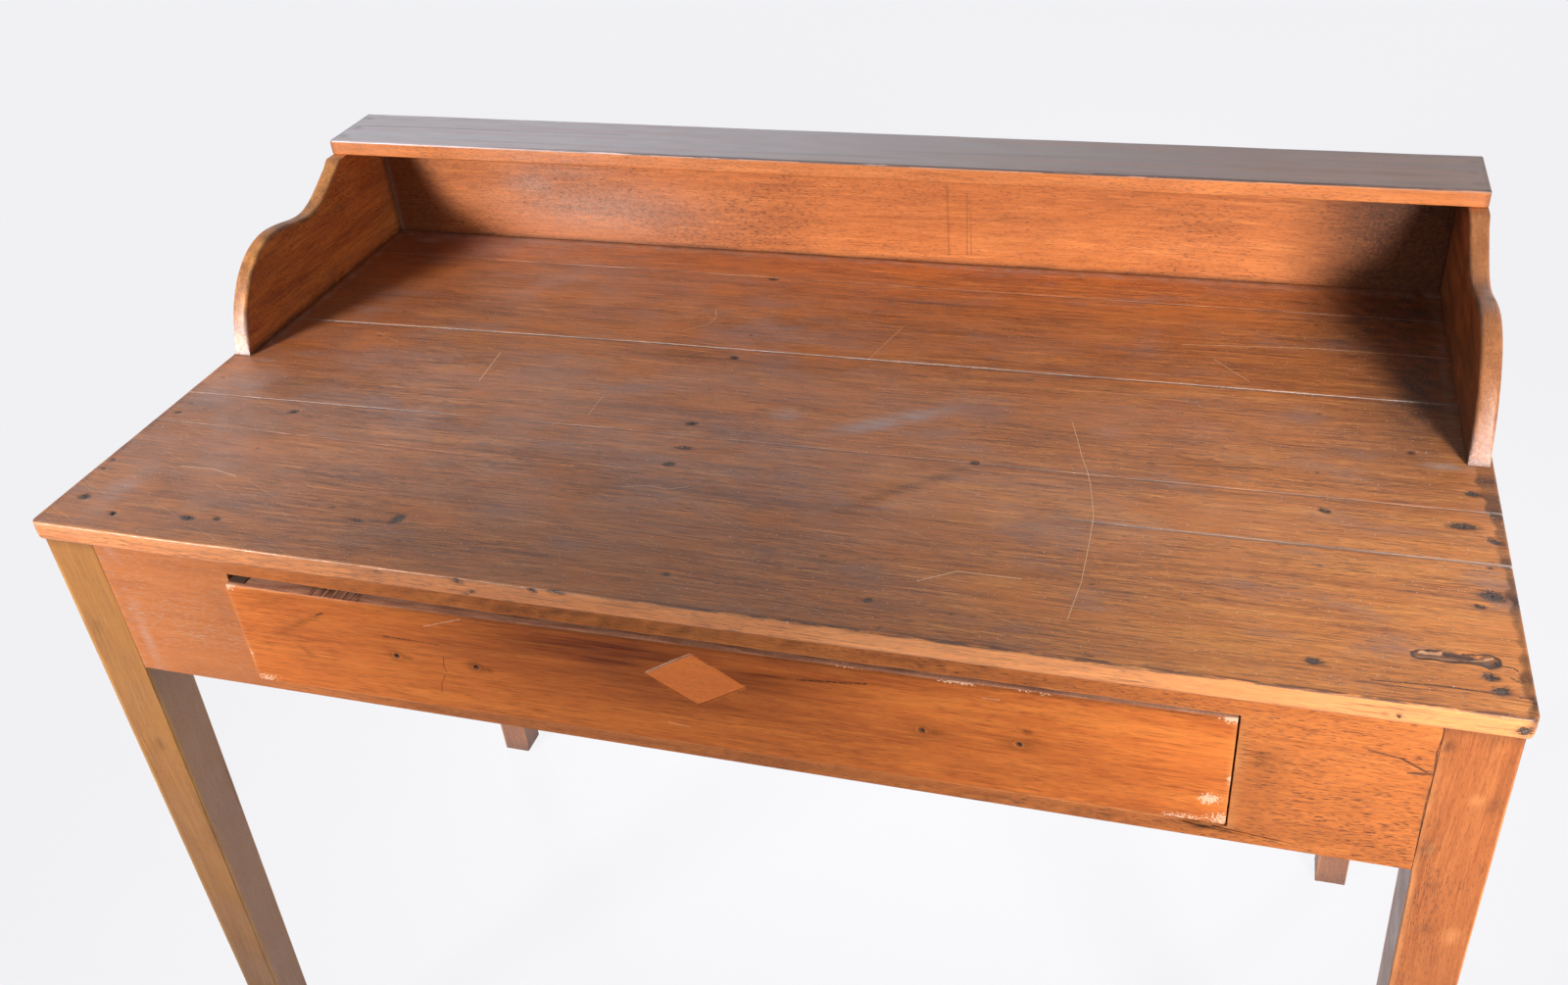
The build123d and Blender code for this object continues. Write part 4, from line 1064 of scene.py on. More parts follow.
def top_board(number, settings):
    """One board of the table top: a rounded section carried along X, its face worn by hand and nail."""
    end_r = settings.nosing_upper / MM
    under_r = settings.nosing_lower / MM
    x = stations(-HALF_TOP, HALF_TOP, 1.8, PLAN_CORNER, GOUGED_END, 1.3)
    end = HALF_TOP - np.abs(x)
    first, last = number == 1, number == len(JOINTS) + 1
    joint_front_r = 0.3 if first else JOINT_ROUND[number - 2]
    joint_rear_r = 0.3 if last else JOINT_ROUND[number - 1]
    front = joint_y(number - 1, x) + JOINT_GAP / 2 if not first else round_off(end, PLAN_CORNER)
    rear = joint_y(number, x) - JOINT_GAP / 2 if not last else TOP_REAR - round_off(end, PLAN_CORNER)
    if first:
        front = front + 0.25 * (1.0 + ripple(11, 170.0, x)) * 0.6
    upper = TOP_FACE - round_off(end, end_r)
    lower = TOP_UNDER + round_off(end, under_r)
    radii = (end_r if first else joint_front_r, end_r if last else joint_rear_r,
             under_r if last else 0.5, under_r if first else 0.5)
    width = float(np.max(rear - front))
    loops, zones = rounded_section((front, rear), (lower, upper), radii, (int(width / 1.7), 6, 4, 10))
    y, z = loops[..., 0], loops[..., 1]
    x = np.broadcast_to(x[:, None], y.shape)
    end = HALF_TOP - np.abs(x)
    near_face = ease(z, TOP_UNDER + 6.0, TOP_FACE - 3.0)
    hollow = BOARD_HOLLOW * (1.0 + ripple(20 + number, 150.0, x, y * 0.8))
    dents = DENT_DEPTH * patches(x, y, nail_spots(0.4), 3.0)
    if first:
        bruises = patches(x, z, NOSING_DENTS) * np.isin(zones, (FRONT, UPPER_FRONT, LOWER_FRONT))
        y = y + BRUISE_DEPTH * bruises
    slot = GOUGE_DEPTH * gouge(x, y)
    z = z - near_face * (hollow + dents + slot)
    marks = top_marks(number, x, y, z, end, zones)
    if first:
        marks["scar"] = np.maximum(marks["scar"], bruises)
    rings = np.stack((x, y, z), axis=-1)
    return Shape().loft(rings, marks)


def top_marks(number, x, y, z, end, zones):
    """Wear, grime, dust, bloom, scars, dark arris line and gouge of a top board, each 0 to 1."""
    high = z > TOP_FACE - 9.0
    nosing = (zones == UPPER_FRONT) & (number == 1)
    edge = np.exp(-((end - 1.5) / 2.0) ** 2)
    wear = np.maximum(0.28 * nosing, 0.25 * edge * (x < 0.0)) * (0.7 + 0.3 * ripple(31, 60.0, x, y))
    if number == 1:
        wear = np.maximum(wear, 0.14 * (zones == FRONT))
        # At the left end the nosing's upper arris is paled: worn wood, and a painted highlight of its gloss
        wear = np.maximum(wear, 0.5 * nosing * ease(-x, 250.0, 420.0))
    scar = patches(x, y, nail_spots(0.3), 2.5)
    # Stains, with painted shadow in the gallery's rear corners
    grime = patches(x, y, STAINS_AND_SHADOWS) * (0.9 + 0.1 * ripple(8, 30.0, x, y))
    end_width = 4.5 + 8.0 * ease(y, 150.0, 270.0) + 1.5 * ripple(13, 30.0, y)
    right_end = ease(x, HALF_TOP - end_width - 3.0, HALF_TOP - end_width)
    right_end = right_end * (0.74 + 0.2 * ripple(9, 40.0, y))
    left_end = ease(-x, HALF_TOP - 9.0, HALF_TOP - 2.0) * (0.3 + 0.2 * ripple(10, 40.0, y))
    grime = np.maximum(grime, np.maximum(right_end, left_end) * (y < 280.0))
    # Darker beside the gallery's sides and along the back board: dirt in those corners, and painted shade
    # where they meet the top
    wall = GALLERY_HALF - GALLERY_SIDE_THICK - np.abs(x)
    beside = np.exp(-(np.maximum(wall, 0.0) / 4.0)) * ease(y, 268.0, 275.0)
    behind = np.exp(-np.maximum(BACK_LOW[1] - y, 0.0) / 4.0)
    corner = np.maximum(beside, behind)
    grime = np.maximum(grime, 0.6 * corner)
    dust = (0.3 + 0.25 * (x < 0.0)) * np.exp(-(((wall - 6.0) / 4.0) ** 2)) * ease(y, 275.0, 300.0)
    dust = np.maximum(dust, 0.5 * np.exp(-(((BACK_LOW[1] - y - 7.0) / 5.0) ** 2)))
    dust = np.maximum(dust * (0.55 + 0.45 * ripple(12, 26.0, x, y)), patches(x, y, FOOT_DUST))
    for joint in range(1, len(JOINTS) + 1):
        away = np.abs(y - joint_y(joint, x))
        swell = 0.75 + 0.35 * ripple(40 + joint, 90.0, x)
        pale = JOINT_DUST[joint - 1] * swell
        dirty = JOINT_DIRT[joint - 1] * (1.0 + 0.35 * ripple(50 + joint, 45.0, x))
        if joint == 1:
            opened = ease(x, 225.0, 265.0)
            pale = pale + 0.8 * opened + 0.25 * ease(-x, 420.0, 450.0)
            dirty = dirty + 0.45 * opened
        below = joint_y(joint, x) - y
        dust = np.maximum(dust, pale * ease(away, 1.6, 0.6) * high)
        grime = np.maximum(grime, dirty * ease(below, -1.0, 0.3) * ease(below, 2.8, 1.2) * high)
    bloom = patches(x, y, BLOOMS_AND_SHEEN) * high
    under = ease(z, TOP_UNDER + 4.0, TOP_UNDER)
    grime = np.maximum(grime * high, 0.25 * under)
    beside_nosing = np.isin(zones, (UPPER_FRONT, FACE)) * (y < 2.6) * (number == 1)
    arris = beside_nosing * ease(y, 0.15, 0.5) * ease(x, -130.0, 20.0)
    return {"wear": wear * high, "grime": grime, "dust": dust * high, "bloom": bloom, "scar": scar * high,
            "arris": arris, "gouge": patches(x, y, GOUGE_LOBES, 3.0) * high}


# ---- Legs and aprons ----

# Small dents in the legs: side, z, offset across the face, size, depth
LEG_DENTS = ((1, 683.0, 15.0, 7.0, 0.5), (1, 739.0, 5.0, 6.0, 0.4), (1, 560.0, -6.0, 6.0, 0.7),
             (1, 470.0, 8.0, 4.0, 0.4), (-1, 520.0, 4.0, 7.0, 0.5), (-1, 655.0, -8.0, 5.0, 0.4))

# Spots on the front faces of the front legs: x, z, half width, half height, and how dark, or pale below 0
LEG_SPOTS = (
    (507, 636, 4, 5, 0.7), (507, 636, 1.5, 1.8, -0.8), (504.6, 729.3, 2.5, 4, 0.9),
    (528, 687, 4, 3, -0.45), (534, 556, 5, 6, -0.4), (515, 600, 2, 3, 0.5),
)


def leg(side, end, settings):
    """Tapered leg: a rounded square carried up Z. Its inner faces run in from the aprons to the floor."""
    arris = settings.arris / MM
    z = stations(0.0, TOP_UNDER, 7.0, FOOT_ROUND)
    size = FOOT_SIZE + (LEG_SIZE - FOOT_SIZE) * np.clip(z / APRON_UNDER, 0.0, 1.0)
    foot = round_off(z, FOOT_ROUND)
    outer_y = FRAME_FRONT if end < 0 else FRAME_REAR
    x_ends = np.sort(np.stack((np.full(z.shape, side * HALF_FRAME), side * (HALF_FRAME - size))), axis=0)
    y_ends = np.sort(np.stack((np.full(z.shape, outer_y), outer_y - end * size)), axis=0)
    below = 1.0 - ease(z, APRON_UNDER - 12.0, APRON_UNDER + 2.0)
    fine = 0.45 + (arris - 0.45) * below
    plain = np.full(z.shape, arris)
    high_x, low_x = (plain, fine) if side > 0 else (fine, plain)
    low_y_high_x, low_y_low_x = (high_x, low_x) if end < 0 else (plain, plain)
    radii = (plain if end < 0 else low_x, plain if end < 0 else high_x, low_y_high_x, low_y_low_x)
    loops, zones = rounded_section((x_ends[0] + foot, x_ends[1] - foot),
                                   (y_ends[0] + foot, y_ends[1] - foot), radii, (12, 4, 12, 12))
    x, y = loops[..., 0], loops[..., 1]
    z = np.broadcast_to(z[:, None], x.shape)
    middle_x, middle_y = x_ends.mean(axis=0)[:, None], y_ends.mean(axis=0)[:, None]
    sway = LEG_SWAY * (1.0 + ripple(60 + side + 2 * end, 130.0, z, x, y)) * below[:, None]
    x = x - np.sign(x - middle_x) * sway * np.isin(zones, (REAR, FRONT))
    y = y - np.sign(y - middle_y) * sway * np.isin(zones, (FACE, UNDER))
    grime = np.zeros(x.shape)
    front_zone = (zones == UNDER) & (end < 0)
    for which, height, offset, reach, depth in LEG_DENTS:
        if which == side and end < 0:
            spot = np.exp(-(((z - height) / reach) ** 2) - ((x - middle_x - offset) / (0.6 * reach)) ** 2)
            y = y + depth * spot * front_zone
            grime = np.maximum(grime, 0.5 * spot * front_zone)
    corners = np.isin(zones, ROUNDS)
    wear = 0.5 * corners * (0.75 + 0.25 * ripple(64 + side, 70.0, z, x)) * ease(z, 742.0, 700.0)
    grime = np.maximum(grime, 0.55 * ease(z, 26.0, 0.0) * (0.8 + 0.3 * ripple(66 + side, 25.0, x, y, z)))
    # Darker in a band just under the table top
    grime = np.maximum(grime, 0.4 * ease(z, TOP_UNDER - 6.0, TOP_UNDER))
    for place, height, half_wide, half_high, strength in LEG_SPOTS:
        spot = strength * patches(x, z, ((place, height, half_wide, half_high, 0, 1.0),)) * front_zone
        grime = np.maximum(grime, spot * (spot > 0.0))
        wear = np.maximum(wear, -spot)
    # Painted shade on the inner faces, stronger on the right legs
    inside = zones == (FRONT if side > 0 else REAR)
    inner = inside * (0.9 if side > 0 else 0.42)
    scuffed = np.maximum((0.34 if end > 0 else 0.12) * ease(z, 420.0, 60.0), 0.26 * inside * (side < 0))
    marks = {"wear": wear, "grime": grime, "tarnish": inner, "dust": scuffed}
    return Shape().loft(np.stack((x, y, z), axis=-1), marks)


APRON_COUNTS = (250, 26)         # points along and up the front apron's rim and opening
ROT_SPOTS = ((356.0, 7.0, 2.6), (375.0, 5.0, 2.2))      # decay under the drawer: x, half width, depth
# Dark clouds on the front apron: x, z, half length, half height, turn, strength
APRON_CLOUDS = (
    (-200, 621, 130, 7, 0, 0.34), (60, 620, 160, 6, 0, 0.3), (290, 620, 120, 8, 0, 0.42),
    (399, 691, 9, 12, 0, 0.72), (396, 660, 16, 46, 0, 0.26), (440, 632, 40, 12, 0, 0.26),
    (455, 668, 30, 14, 0, 0.1), (470, 628, 30, 10, 0, 0.24), (-395, 700, 12, 22, 0, 0.2),
    (-440, 622, 50, 7, 0, 0.2), (504, 729, 4, 3, 0, 0.8), (497, 690, 4, 60, 0, 0.35),
    (-494, 690, 4, 50, 0, 0.2), (369, 624, 18, 4, 0, 0.9), (-60, 738, 230, 9, 0, 0.66),
    (150, 737, 170, 8, 0, 0.45), (-300, 738, 90, 8, 0, 0.25), (507, 636, 4, 5, 0, 0.5),
)


def rectangle(x_ends, z_ends, counts):
    """Points of a rectangle, its four sides divided evenly: x and z of each."""
    along = np.linspace(0.0, 1.0, counts[0], endpoint=False)
    up = np.linspace(0.0, 1.0, counts[1], endpoint=False)
    (x0, x1), (z0, z1) = x_ends, z_ends
    x = (x0 + (x1 - x0) * along, np.full(counts[1], x1), x1 - (x1 - x0) * along, np.full(counts[1], x0))
    z = (np.full(counts[0], z0), z0 + (z1 - z0) * up, np.full(counts[0], z1), z1 - (z1 - z0) * up)
    return np.stack((np.concatenate(x), np.concatenate(z)), axis=-1)


def apron_rim(inset):
    """Outer edge of the front apron, moved inward."""
    return rectangle((-LEG_INNER + APRON_PLAY + inset, LEG_INNER - APRON_PLAY - inset),
                     (APRON_UNDER + inset, TOP_UNDER - inset), APRON_COUNTS)


def opening_lip(grow):
    """Edge of the drawer opening, grown outward: chipped at its upper left, rotten in two spots below."""
    ring = rectangle((OPENING_X[0] - grow, OPENING_X[1] + grow),
                     (OPENING_Z[0] - grow, OPENING_Z[1] + grow), APRON_COUNTS)
    x, z = ring[:, 0], ring[:, 1]
    upper = z > np.mean(OPENING_Z)
    fall = np.clip(1.0 - (x - OPENING_X[0]) / OPENING_CHIP_RUN, 0.0, 1.0)
    z = z + OPENING_CHIP * fall * upper
    z = z + 0.25 * (1.0 + ripple(70, 60.0, x)) * np.where(upper, 1.0, -1.0)
    for place, half, depth in ROT_SPOTS:
        z = z - depth * np.exp(-(((x - place) / half) ** 2)) * ~upper
    return np.stack((x, z), axis=-1)


def pierced_apron():
    """Front apron: a section carried round the drawer opening, endless both ways.

    Each ring is a rectangle. It turns through a quarter round from the rim on to the face, shrinks
    over the face, turns into the opening, goes through the board and comes back over its rear.
    A row holds a ring, its depth, its wear, and how much darker it is made: darker inside the opening and
    over the rear.
    """
    rim, lip, rear_lip = 0.5, 0.5, 0.4
    front, rear = FRAME_FRONT, FRAME_FRONT + APRON_THICK
    turns = np.linspace(0.0, math.pi / 2, 5)
    rows = [(apron_rim(rim * (1.0 - math.cos(t))), front + rim * (1.0 - math.sin(t)), 0.0, 0.0)
            for t in turns]
    for share in np.linspace(0.0, 1.0, 16)[1:-1]:
        rows.append((apron_rim(rim) * (1.0 - share) + opening_lip(lip) * share, front, 0.0, 0.0))
    rows += [(opening_lip(lip * (1.0 - math.sin(t))), front + lip * (1.0 - math.cos(t)), 0.4, 0.1)
             for t in turns]
    rows += [
        (opening_lip(0.0), front + 6.0, 0.0, 0.4),
        (opening_lip(0.0), rear - rear_lip, 0.0, 0.6),
        (opening_lip(rear_lip), rear, 0.0, 0.6),
        (apron_rim(rear_lip), rear, 0.0, 0.5),
        (apron_rim(0.0), rear - rear_lip, 0.0, 0.4),
    ]
    rings = np.array([np.insert(plan, 1, y, axis=1) for plan, y, _, _ in rows])
    x, z = rings[..., 0], rings[..., 2]
    wear = np.array([row[2] for row in rows])[:, None] * (0.7 + 0.3 * ripple(72, 40.0, x, z))
    dirt = np.array([row[3] for row in rows])[:, None] + np.zeros(x.shape)
    on_face = rings[..., 1] < front + lip
    clouds = patches(x, z, APRON_CLOUDS) * (0.75 + 0.25 * ripple(73, 22.0, x, z)) * on_face
    band = 485.0 + 0.03 * (z - 690.0) + 1.5 * ripple(74, 60.0, z)
    dust = (0.24 + 0.12 * ripple(75, 14.0, x, z)) * ease(np.abs(x + band), 4.0, 1.0) * on_face
    marks = {"wear": wear, "grime": np.maximum(dirt, clouds), "dust": dust}
    return Shape().loft(rings, marks, endless=True)


def plank(axis, along, across, upright, arris, seed, counts=(30, 4, 6, 6), step=8.0):
    """Plain board: a rounded section carried along an axis, its broad face at the high end of upright.

    across and upright are the section's spans on the other two axes, in the order that axis gives.
    The faces at both ends of upright are moved in by a slow ripple, so the board stays inside its own box.
    """
    low, high = along
    place = stations(low, high, step, arris)
    end = round_off(np.minimum(place - low, high - place), arris)
    loops, zones = rounded_section((across[0] + end, across[1] - end), (upright[0] + end, upright[1] - end),
                                   (arris,) * 4, counts)
    a, b = loops[..., 0], loops[..., 1]
    place = np.broadcast_to(place[:, None], a.shape)
    swell = PLANK_WARP * np.maximum(1.0 + ripple(seed, 140.0, place, a), 0.0)
    b = b - swell * np.isin(zones, (UPPER_FRONT, FACE, UPPER_REAR)) + swell * (zones == UNDER)
    order = {"x": (place, a, b), "y": (b, place, a), "z": (a, b, place)}[axis]
    corners = np.isin(zones, ROUNDS)
    rings = np.stack(order, axis=-1)
    wear = 0.35 * corners * (0.7 + 0.3 * ripple(seed + 1, 70.0, place, a))
    return rings, zones, {"wear": wear}


# ---- Gallery ----

def gallery_side(side):
    """Gallery side: a board cut to the ogee, its front edge rounded by wear."""
    curve = smooth_line(OGEE, OGEE_START, OGEE_END, 12)
    top = SHELF_LOW[2] - TOP_FACE
    rear = SHELF_HIGH[1]
    back_edge = np.stack((np.full(9, rear), np.linspace(top, 0.0, 9)), axis=-1)
    shelf_edge = np.stack((np.linspace(curve[-1, 0], rear, 8)[1:-1], np.full(6, top)), axis=-1)
    foot = np.stack((np.linspace(rear, curve[0, 0], 24)[1:-1], np.zeros(22)), axis=-1)
    outline = np.vstack((curve, shelf_edge, back_edge, foot))
    arris = np.full(len(outline), 0.5)
    arris[:len(curve)] = OGEE_ROUND * ease(curve[:, 1], 0.0, 14.0) * ease(curve[:, 1], top, top - 6.0) + 0.5
    outer = side * GALLERY_HALF
    inner = side * (GALLERY_HALF - GALLERY_SIDE_THICK)
    outline = outline + (0.0, TOP_FACE)
    rings = slab(outline, min(outer, inner), max(outer, inner), arris, 0)
    x, y, z = np.moveaxis(rings, -1, 0)
    ogee = (np.arange(len(outline)) < len(curve)) + np.zeros(x.shape, bool)
    ogee[0] = ogee[-1] = False       # a mark on these rings would smear over the flat faces they bound
    wear = 0.12 * (1.0 + 0.5 * ripple(80 + side, 45.0, x * 2.0, y, z)) * ogee
    dirty = 0.34 if side < 0 else 0.18
    grime = dirty * (1.0 + 0.6 * ripple(84 + side, 30.0, x * 2.0, y, z)) * ogee
    dust = (0.7 if side < 0 else 0.3) * ogee * ease(z, TOP_FACE + 44.0, TOP_FACE + 4.0)
    dust = dust * ease(y, 306.0, 280.0)
    return Shape().loft(rings, {"wear": wear, "grime": grime, "dust": dust})


# Pale haze on the back board's front, partly a film and partly a painted highlight of the left lamp: x, z,
# half length, half height, turn, strength
BACK_HAZE_AND_HIGHLIGHT = ((-362, 823, 34, 16, 0, 0.5), (-290, 800, 110, 30, 0, 0.44), (-330, 838, 70, 10, 0, 0.3))


def gallery_back():
    """Gallery back board: painted shade at its ends, darker along its foot, and a pale haze near its left
    end that is partly a painted highlight.
    """
    rings, _, marks = plank("x", (BACK_LOW[0] + 0.1, BACK_HIGH[0] - 0.1), (TOP_FACE + 0.05, SHELF_LOW[2]),
                            (-BACK_HIGH[1], -BACK_LOW[1]), 0.6, 90, (34, 3, 4, 8), 6.0)
    front = BACK_LOW[1] + 2.0
    x, z, y = rings[..., 0], rings[..., 1], -rings[..., 2]
    foot = ease(z, TOP_FACE + 6.0, TOP_FACE) * (0.8 + 0.15 * ripple(91, 70.0, x))
    # Painted shade at the board's ends, where the gallery's sides cast their shadows on it
    ends = np.maximum(0.85 * ease(x, 370.0, 480.0), 0.5 * ease(-x, 440.0, 505.0))
    marks["grime"] = np.maximum(0.75 * foot, ends) * (y < front)
    left_joint = 0.7 * np.exp(-(((x + BACK_HIGH[0] - 2.0) / 2.5) ** 2))
    marks["dust"] = np.maximum(left_joint, patches(x, z, BACK_HAZE_AND_HIGHLIGHT)) * (y < front)
    return Shape().loft(np.stack((x, y, z), axis=-1), marks)


# Stains of the shelf: x, y, half length, half width, turn, strength
SHELF_STAINS = (
    (-538, 508, 5, 4, 0, 1.0), (-536, 532, 4, 4, 0, 1.0), (-538, 558, 5, 3, 0, 1.0),
    (538, 508, 5, 4, 0, 1.0), (536, 532, 4, 4, 0, 1.0), (538, 556, 5, 3, 0, 1.0),
    (-20, 512, 60, 3, 0, 0.5), (160, 530, 120, 3, 1, 0.4), (-360, 510, 70, 2, 0, 0.4),
    (420, 522, 90, 5, 0, 0.5), (500, 505, 30, 5, 0, 0.6), (250, 500, 60, 3, 0, 0.4),
)


def gallery_shelf():
    """Narrow shelf on the gallery: stained round its nails, its front arris rubbed."""
    rings, zones, marks = plank("x", (SHELF_LOW[0], SHELF_HIGH[0]), (SHELF_LOW[1], SHELF_HIGH[1]),
                                (SHELF_LOW[2], SHELF_HIGH[2]), SHELF_ROUND, 94, (38, 5, 7, 10), 4.0)
    x, y, z = np.moveaxis(rings, -1, 0)
    high = z > SHELF_HIGH[2] - 2.0
    marks["grime"] = 0.5 * patches(x, y, SHELF_STAINS) * high
    marks["grime"] = np.maximum(marks["grime"], 0.5 * ease(np.abs(x), SHELF_HIGH[0] - 6.0, SHELF_HIGH[0]))
    marks["wear"] = marks["wear"] * 0.8 * (y < SHELF_LOW[1] + 4.0)
    near_front = (y < SHELF_LOW[1] + 3.4) * (z > SHELF_HIGH[2] - 1.3)
    marks["arris"] = np.isin(zones, (UPPER_FRONT, FACE)) * near_front * ease(x, -520.0, -160.0)
    marks["dust"] = 0.2 * high * (0.6 + 0.4 * ripple(97, 60.0, x, y * 2.0))
    return Shape().loft(np.stack((x, y, z), axis=-1), marks)


# ---- Drawer ----

# The drawer front's dark heart, stains and bare corners: x, z, half length, half height, turn, strength
DRAWER_HEART = (
    (-60, 714, 105, 18, 0, 0.92), (-62, 701.8, 44, 3.2, 2, 1.0), (-150, 699, 60, 4, 0, 0.55),
    (56, 708.5, 36, 3.2, 4, 1.0), (40, 702, 66, 15, 4, 0.85), (100, 712, 46, 2.8, 5, 0.65),
    (-40, 690, 80, 14, 0, 0.6), (10, 676, 110, 9, 3, 0.32), (-180, 722, 130, 5, 0, 0.3),
    (90, 722, 90, 6, -2, 0.4),
)
DRAWER_STAINS = (
    (-317, 699.5, 25, 2.2, 28, 0.5), (-322, 668, 10, 2, -45, 0.3), (-345, 716, 20, 8, 0, 0.22),
    (-240, 688, 22, 3, 0, 0.16), (-10, 665, 240, 12, 1, 0.08), (250, 655, 90, 12, 0, 0.08),
)
WORN_CORNERS = (
    (-375, 726, 6, 3.5, 0, 0.8), (-369, 633, 12, 5, 0, 0.62), (376, 727, 8, 4, 0, 0.95),
    (377, 634, 13, 7, 0, 0.68), (366, 652, 7, 5, 20, 0.95), (352, 632, 20, 3, 0, 0.6),
    (377.5, 672, 2, 5, 0, 0.7), (196, 727.5, 14, 2.2, 0, 0.9), (-377, 659, 3, 6, 0, 0.6),
    (120, 727.5, 12, 1.2, 0, 0.6), (250, 727, 16, 1.2, 0, 0.55),
)


# Dirt round the handle holes: number of the hole, then as above but measured from the hole
HOLE_DIRT = (
    (0, 0, 0, 6, 4.5, 0, 0.85), (1, 0, 0, 6, 4.5, 0, 0.85), (2, 0, 0, 6, 4.5, 0, 0.85),
    (3, 0, 0, 6, 4.5, 0, 0.85), (2, 3, 1, 22, 8, 0, 0.3), (3, 3, 1, 22, 8, 0, 0.3),
    (0, 10, -1, 3, 2, 0, 0.7), (1, 10, -1, 3, 2, 0, 0.7), (2, 9, 0, 9, 4, 0, 0.6), (3, 0, 0, 15, 7, 0, 0.5),
)
DRAWER_PITS = ((240, 690, 2.5, 2.5, 0, 1.0), (-207, 643, 5, 2, 0, 0.5))
DRAWER_PIT_DIRT = (243, 690, 4, 2.2, 0, 0.9)


def drawer_block(x_ends, z_ends, y_ends):
    """Rings of a plain box in the drawer's frame, for cutting."""
    x = np.array((x_ends[0], x_ends[1], x_ends[1], x_ends[0]))
    z = np.array((z_ends[0], z_ends[0], z_ends[1], z_ends[1]))
    return np.array([np.stack((x, np.full(4, y), z), axis=-1) for y in y_ends])


def tail_cut(side, low, high):
    """Rings of one half-blind dovetail socket, from the drawer front's end inward."""
    beyond = 1.0
    root = DRAWER_FRONT_THICK + beyond
    slope = TAIL_SPREAD / (DRAWER_FRONT_THICK - DRAWER_LAP)
    z_low = DRAWER_Z[0] + low
    z_high = DRAWER_Z[0] + high
    at_edge_low, at_edge_high = low <= 0.0, z_high >= DRAWER_Z[1]
    y = np.array((DRAWER_LAP, root, root, DRAWER_LAP))
    z = np.array((
        z_low - (beyond if at_edge_low else TAIL_SPREAD),
        z_low - (beyond if at_edge_low else -slope * beyond),
        z_high + (beyond if at_edge_high else -slope * beyond),
        z_high + (beyond if at_edge_high else TAIL_SPREAD),
    ))
    inner = side * (DRAWER_HALF - DRAWER_SIDE_THICK - SOCKET_SHRINK)
    outer = side * (DRAWER_HALF + beyond)
    return np.array([np.stack((np.full(4, x), y, z), axis=-1) for x in (outer, inner)])


def lozenge_outline(grow):
    """Corners of the diamond, its sides moved outward."""
    half_wide, half_high = LOZENGE_WIDTH / 2, LOZENGE_HEIGHT / 2
    scale = 1.0 + grow * math.hypot(half_wide, half_high) / (half_wide * half_high)
    across, up = half_wide * scale, half_high * scale
    return np.array([(LOZENGE_X - across, LOZENGE_Z), (LOZENGE_X, LOZENGE_Z - up),
                     (LOZENGE_X + across, LOZENGE_Z), (LOZENGE_X, LOZENGE_Z + up)])


def hole_ring(x, radius, y):
    """Circle round a handle hole at a depth."""
    angle = np.linspace(0.0, 2.0 * math.pi, HOLE_SIDES, endpoint=False)
    ring = (x + radius * np.cos(angle), np.full(HOLE_SIDES, y), HANDLE_HOLE_Z + radius * np.sin(angle))
    return np.stack(ring, axis=-1)


def drawer_cutter():
    """All that is cut out of the drawer front: sockets, the bottom's groove, the inlay's bed, the holes."""
    shape = Shape()
    for _, side in SIDES:
        for low, high in TAILS_UP:
            shape.loft(in_drawer(tail_cut(side, low, high)))
    groove_half = DRAWER_HALF - DRAWER_SIDE_THICK - SOCKET_SHRINK - 1.0
    groove_z = [DRAWER_Z[0] + up for up in GROOVE_UP]
    rear = DRAWER_FRONT_THICK
    groove_y = (rear - GROOVE_DEPTH, rear + 1.0)
    shape.loft(in_drawer(drawer_block((-groove_half, groove_half), groove_z, groove_y)))
    bed = lozenge_outline(0.35)
    shape.loft(in_drawer([np.insert(bed, 1, y, axis=1) for y in (-2.0, LOZENGE_THICK + 0.1)]))
    for x in HANDLE_HOLE_X:
        shape.loft(in_drawer([hole_ring(x, HANDLE_HOLE_R + 0.15, y) for y in (-2.0, rear + 1.0)]))
    return shape


def drawer_front_body():
    """Drawer front before it is cut: a rounded section carried along X, its corners worn away."""
    x = stations(-DRAWER_HALF, DRAWER_HALF, 3.2, DRAWER_END_ROUND)
    end = DRAWER_HALF - np.abs(x)
    drop = round_off(end, DRAWER_END_ROUND)
    loops, zones = rounded_section((DRAWER_Z[0] + drop, DRAWER_Z[1] - drop),
                                   (-DRAWER_FRONT_THICK + 0.0 * x, -drop), DRAWER_ROUNDS, (40, 5, 6, 6))
    z, y = loops[..., 0], -loops[..., 1]
    x = np.broadcast_to(x[:, None], z.shape)
    show = ease(y, 6.0, 1.0)
    worn = patches(x, z, WORN_CORNERS)
    y = y + show * (0.12 * (1.0 + ripple(100, 160.0, x, z)) + 0.5 * worn)
    stain = patches(x, z, DRAWER_STAINS) * show
    holes = patches(x, z, [(HANDLE_HOLE_X[hole] + right, HANDLE_HOLE_Z + up, *spot)
                           for hole, right, up, *spot in HOLE_DIRT] + [DRAWER_PIT_DIRT]) * show
    pit = patches(x, z, DRAWER_PITS)
    y = y + DRAWER_PIT_DEPTH * pit * show
    upper_arris = (zones == UPPER_REAR) * (y < 2.0)
    arris = 0.3 * upper_arris * ease(-x, 210.0, 280.0) + 0.5 * (zones == UPPER_FRONT)
    ends = ease(DRAWER_HALF - np.abs(x), 2.0, 0.6) * show
    wear = np.maximum(arris, 0.3 * ends) * (0.7 + 0.3 * ripple(101, 50.0, x, z))
    grime = np.maximum(stain * (0.85 + 0.15 * ripple(102, 14.0, x / 3.0, z)), holes)
    grime = np.maximum(grime, 0.35 * (y > DRAWER_FRONT_THICK - 2.0))
    grime = np.maximum(grime, 0.45 * upper_arris * ease(x, -280.0, -210.0))
    heart = patches(x, z, DRAWER_HEART) * show
    rings = np.stack((x, y, z), axis=-1)
    marks = {"wear": wear, "grime": grime, "rub": worn * show, "heart": heart}
    return Shape().loft(in_drawer(rings), marks)


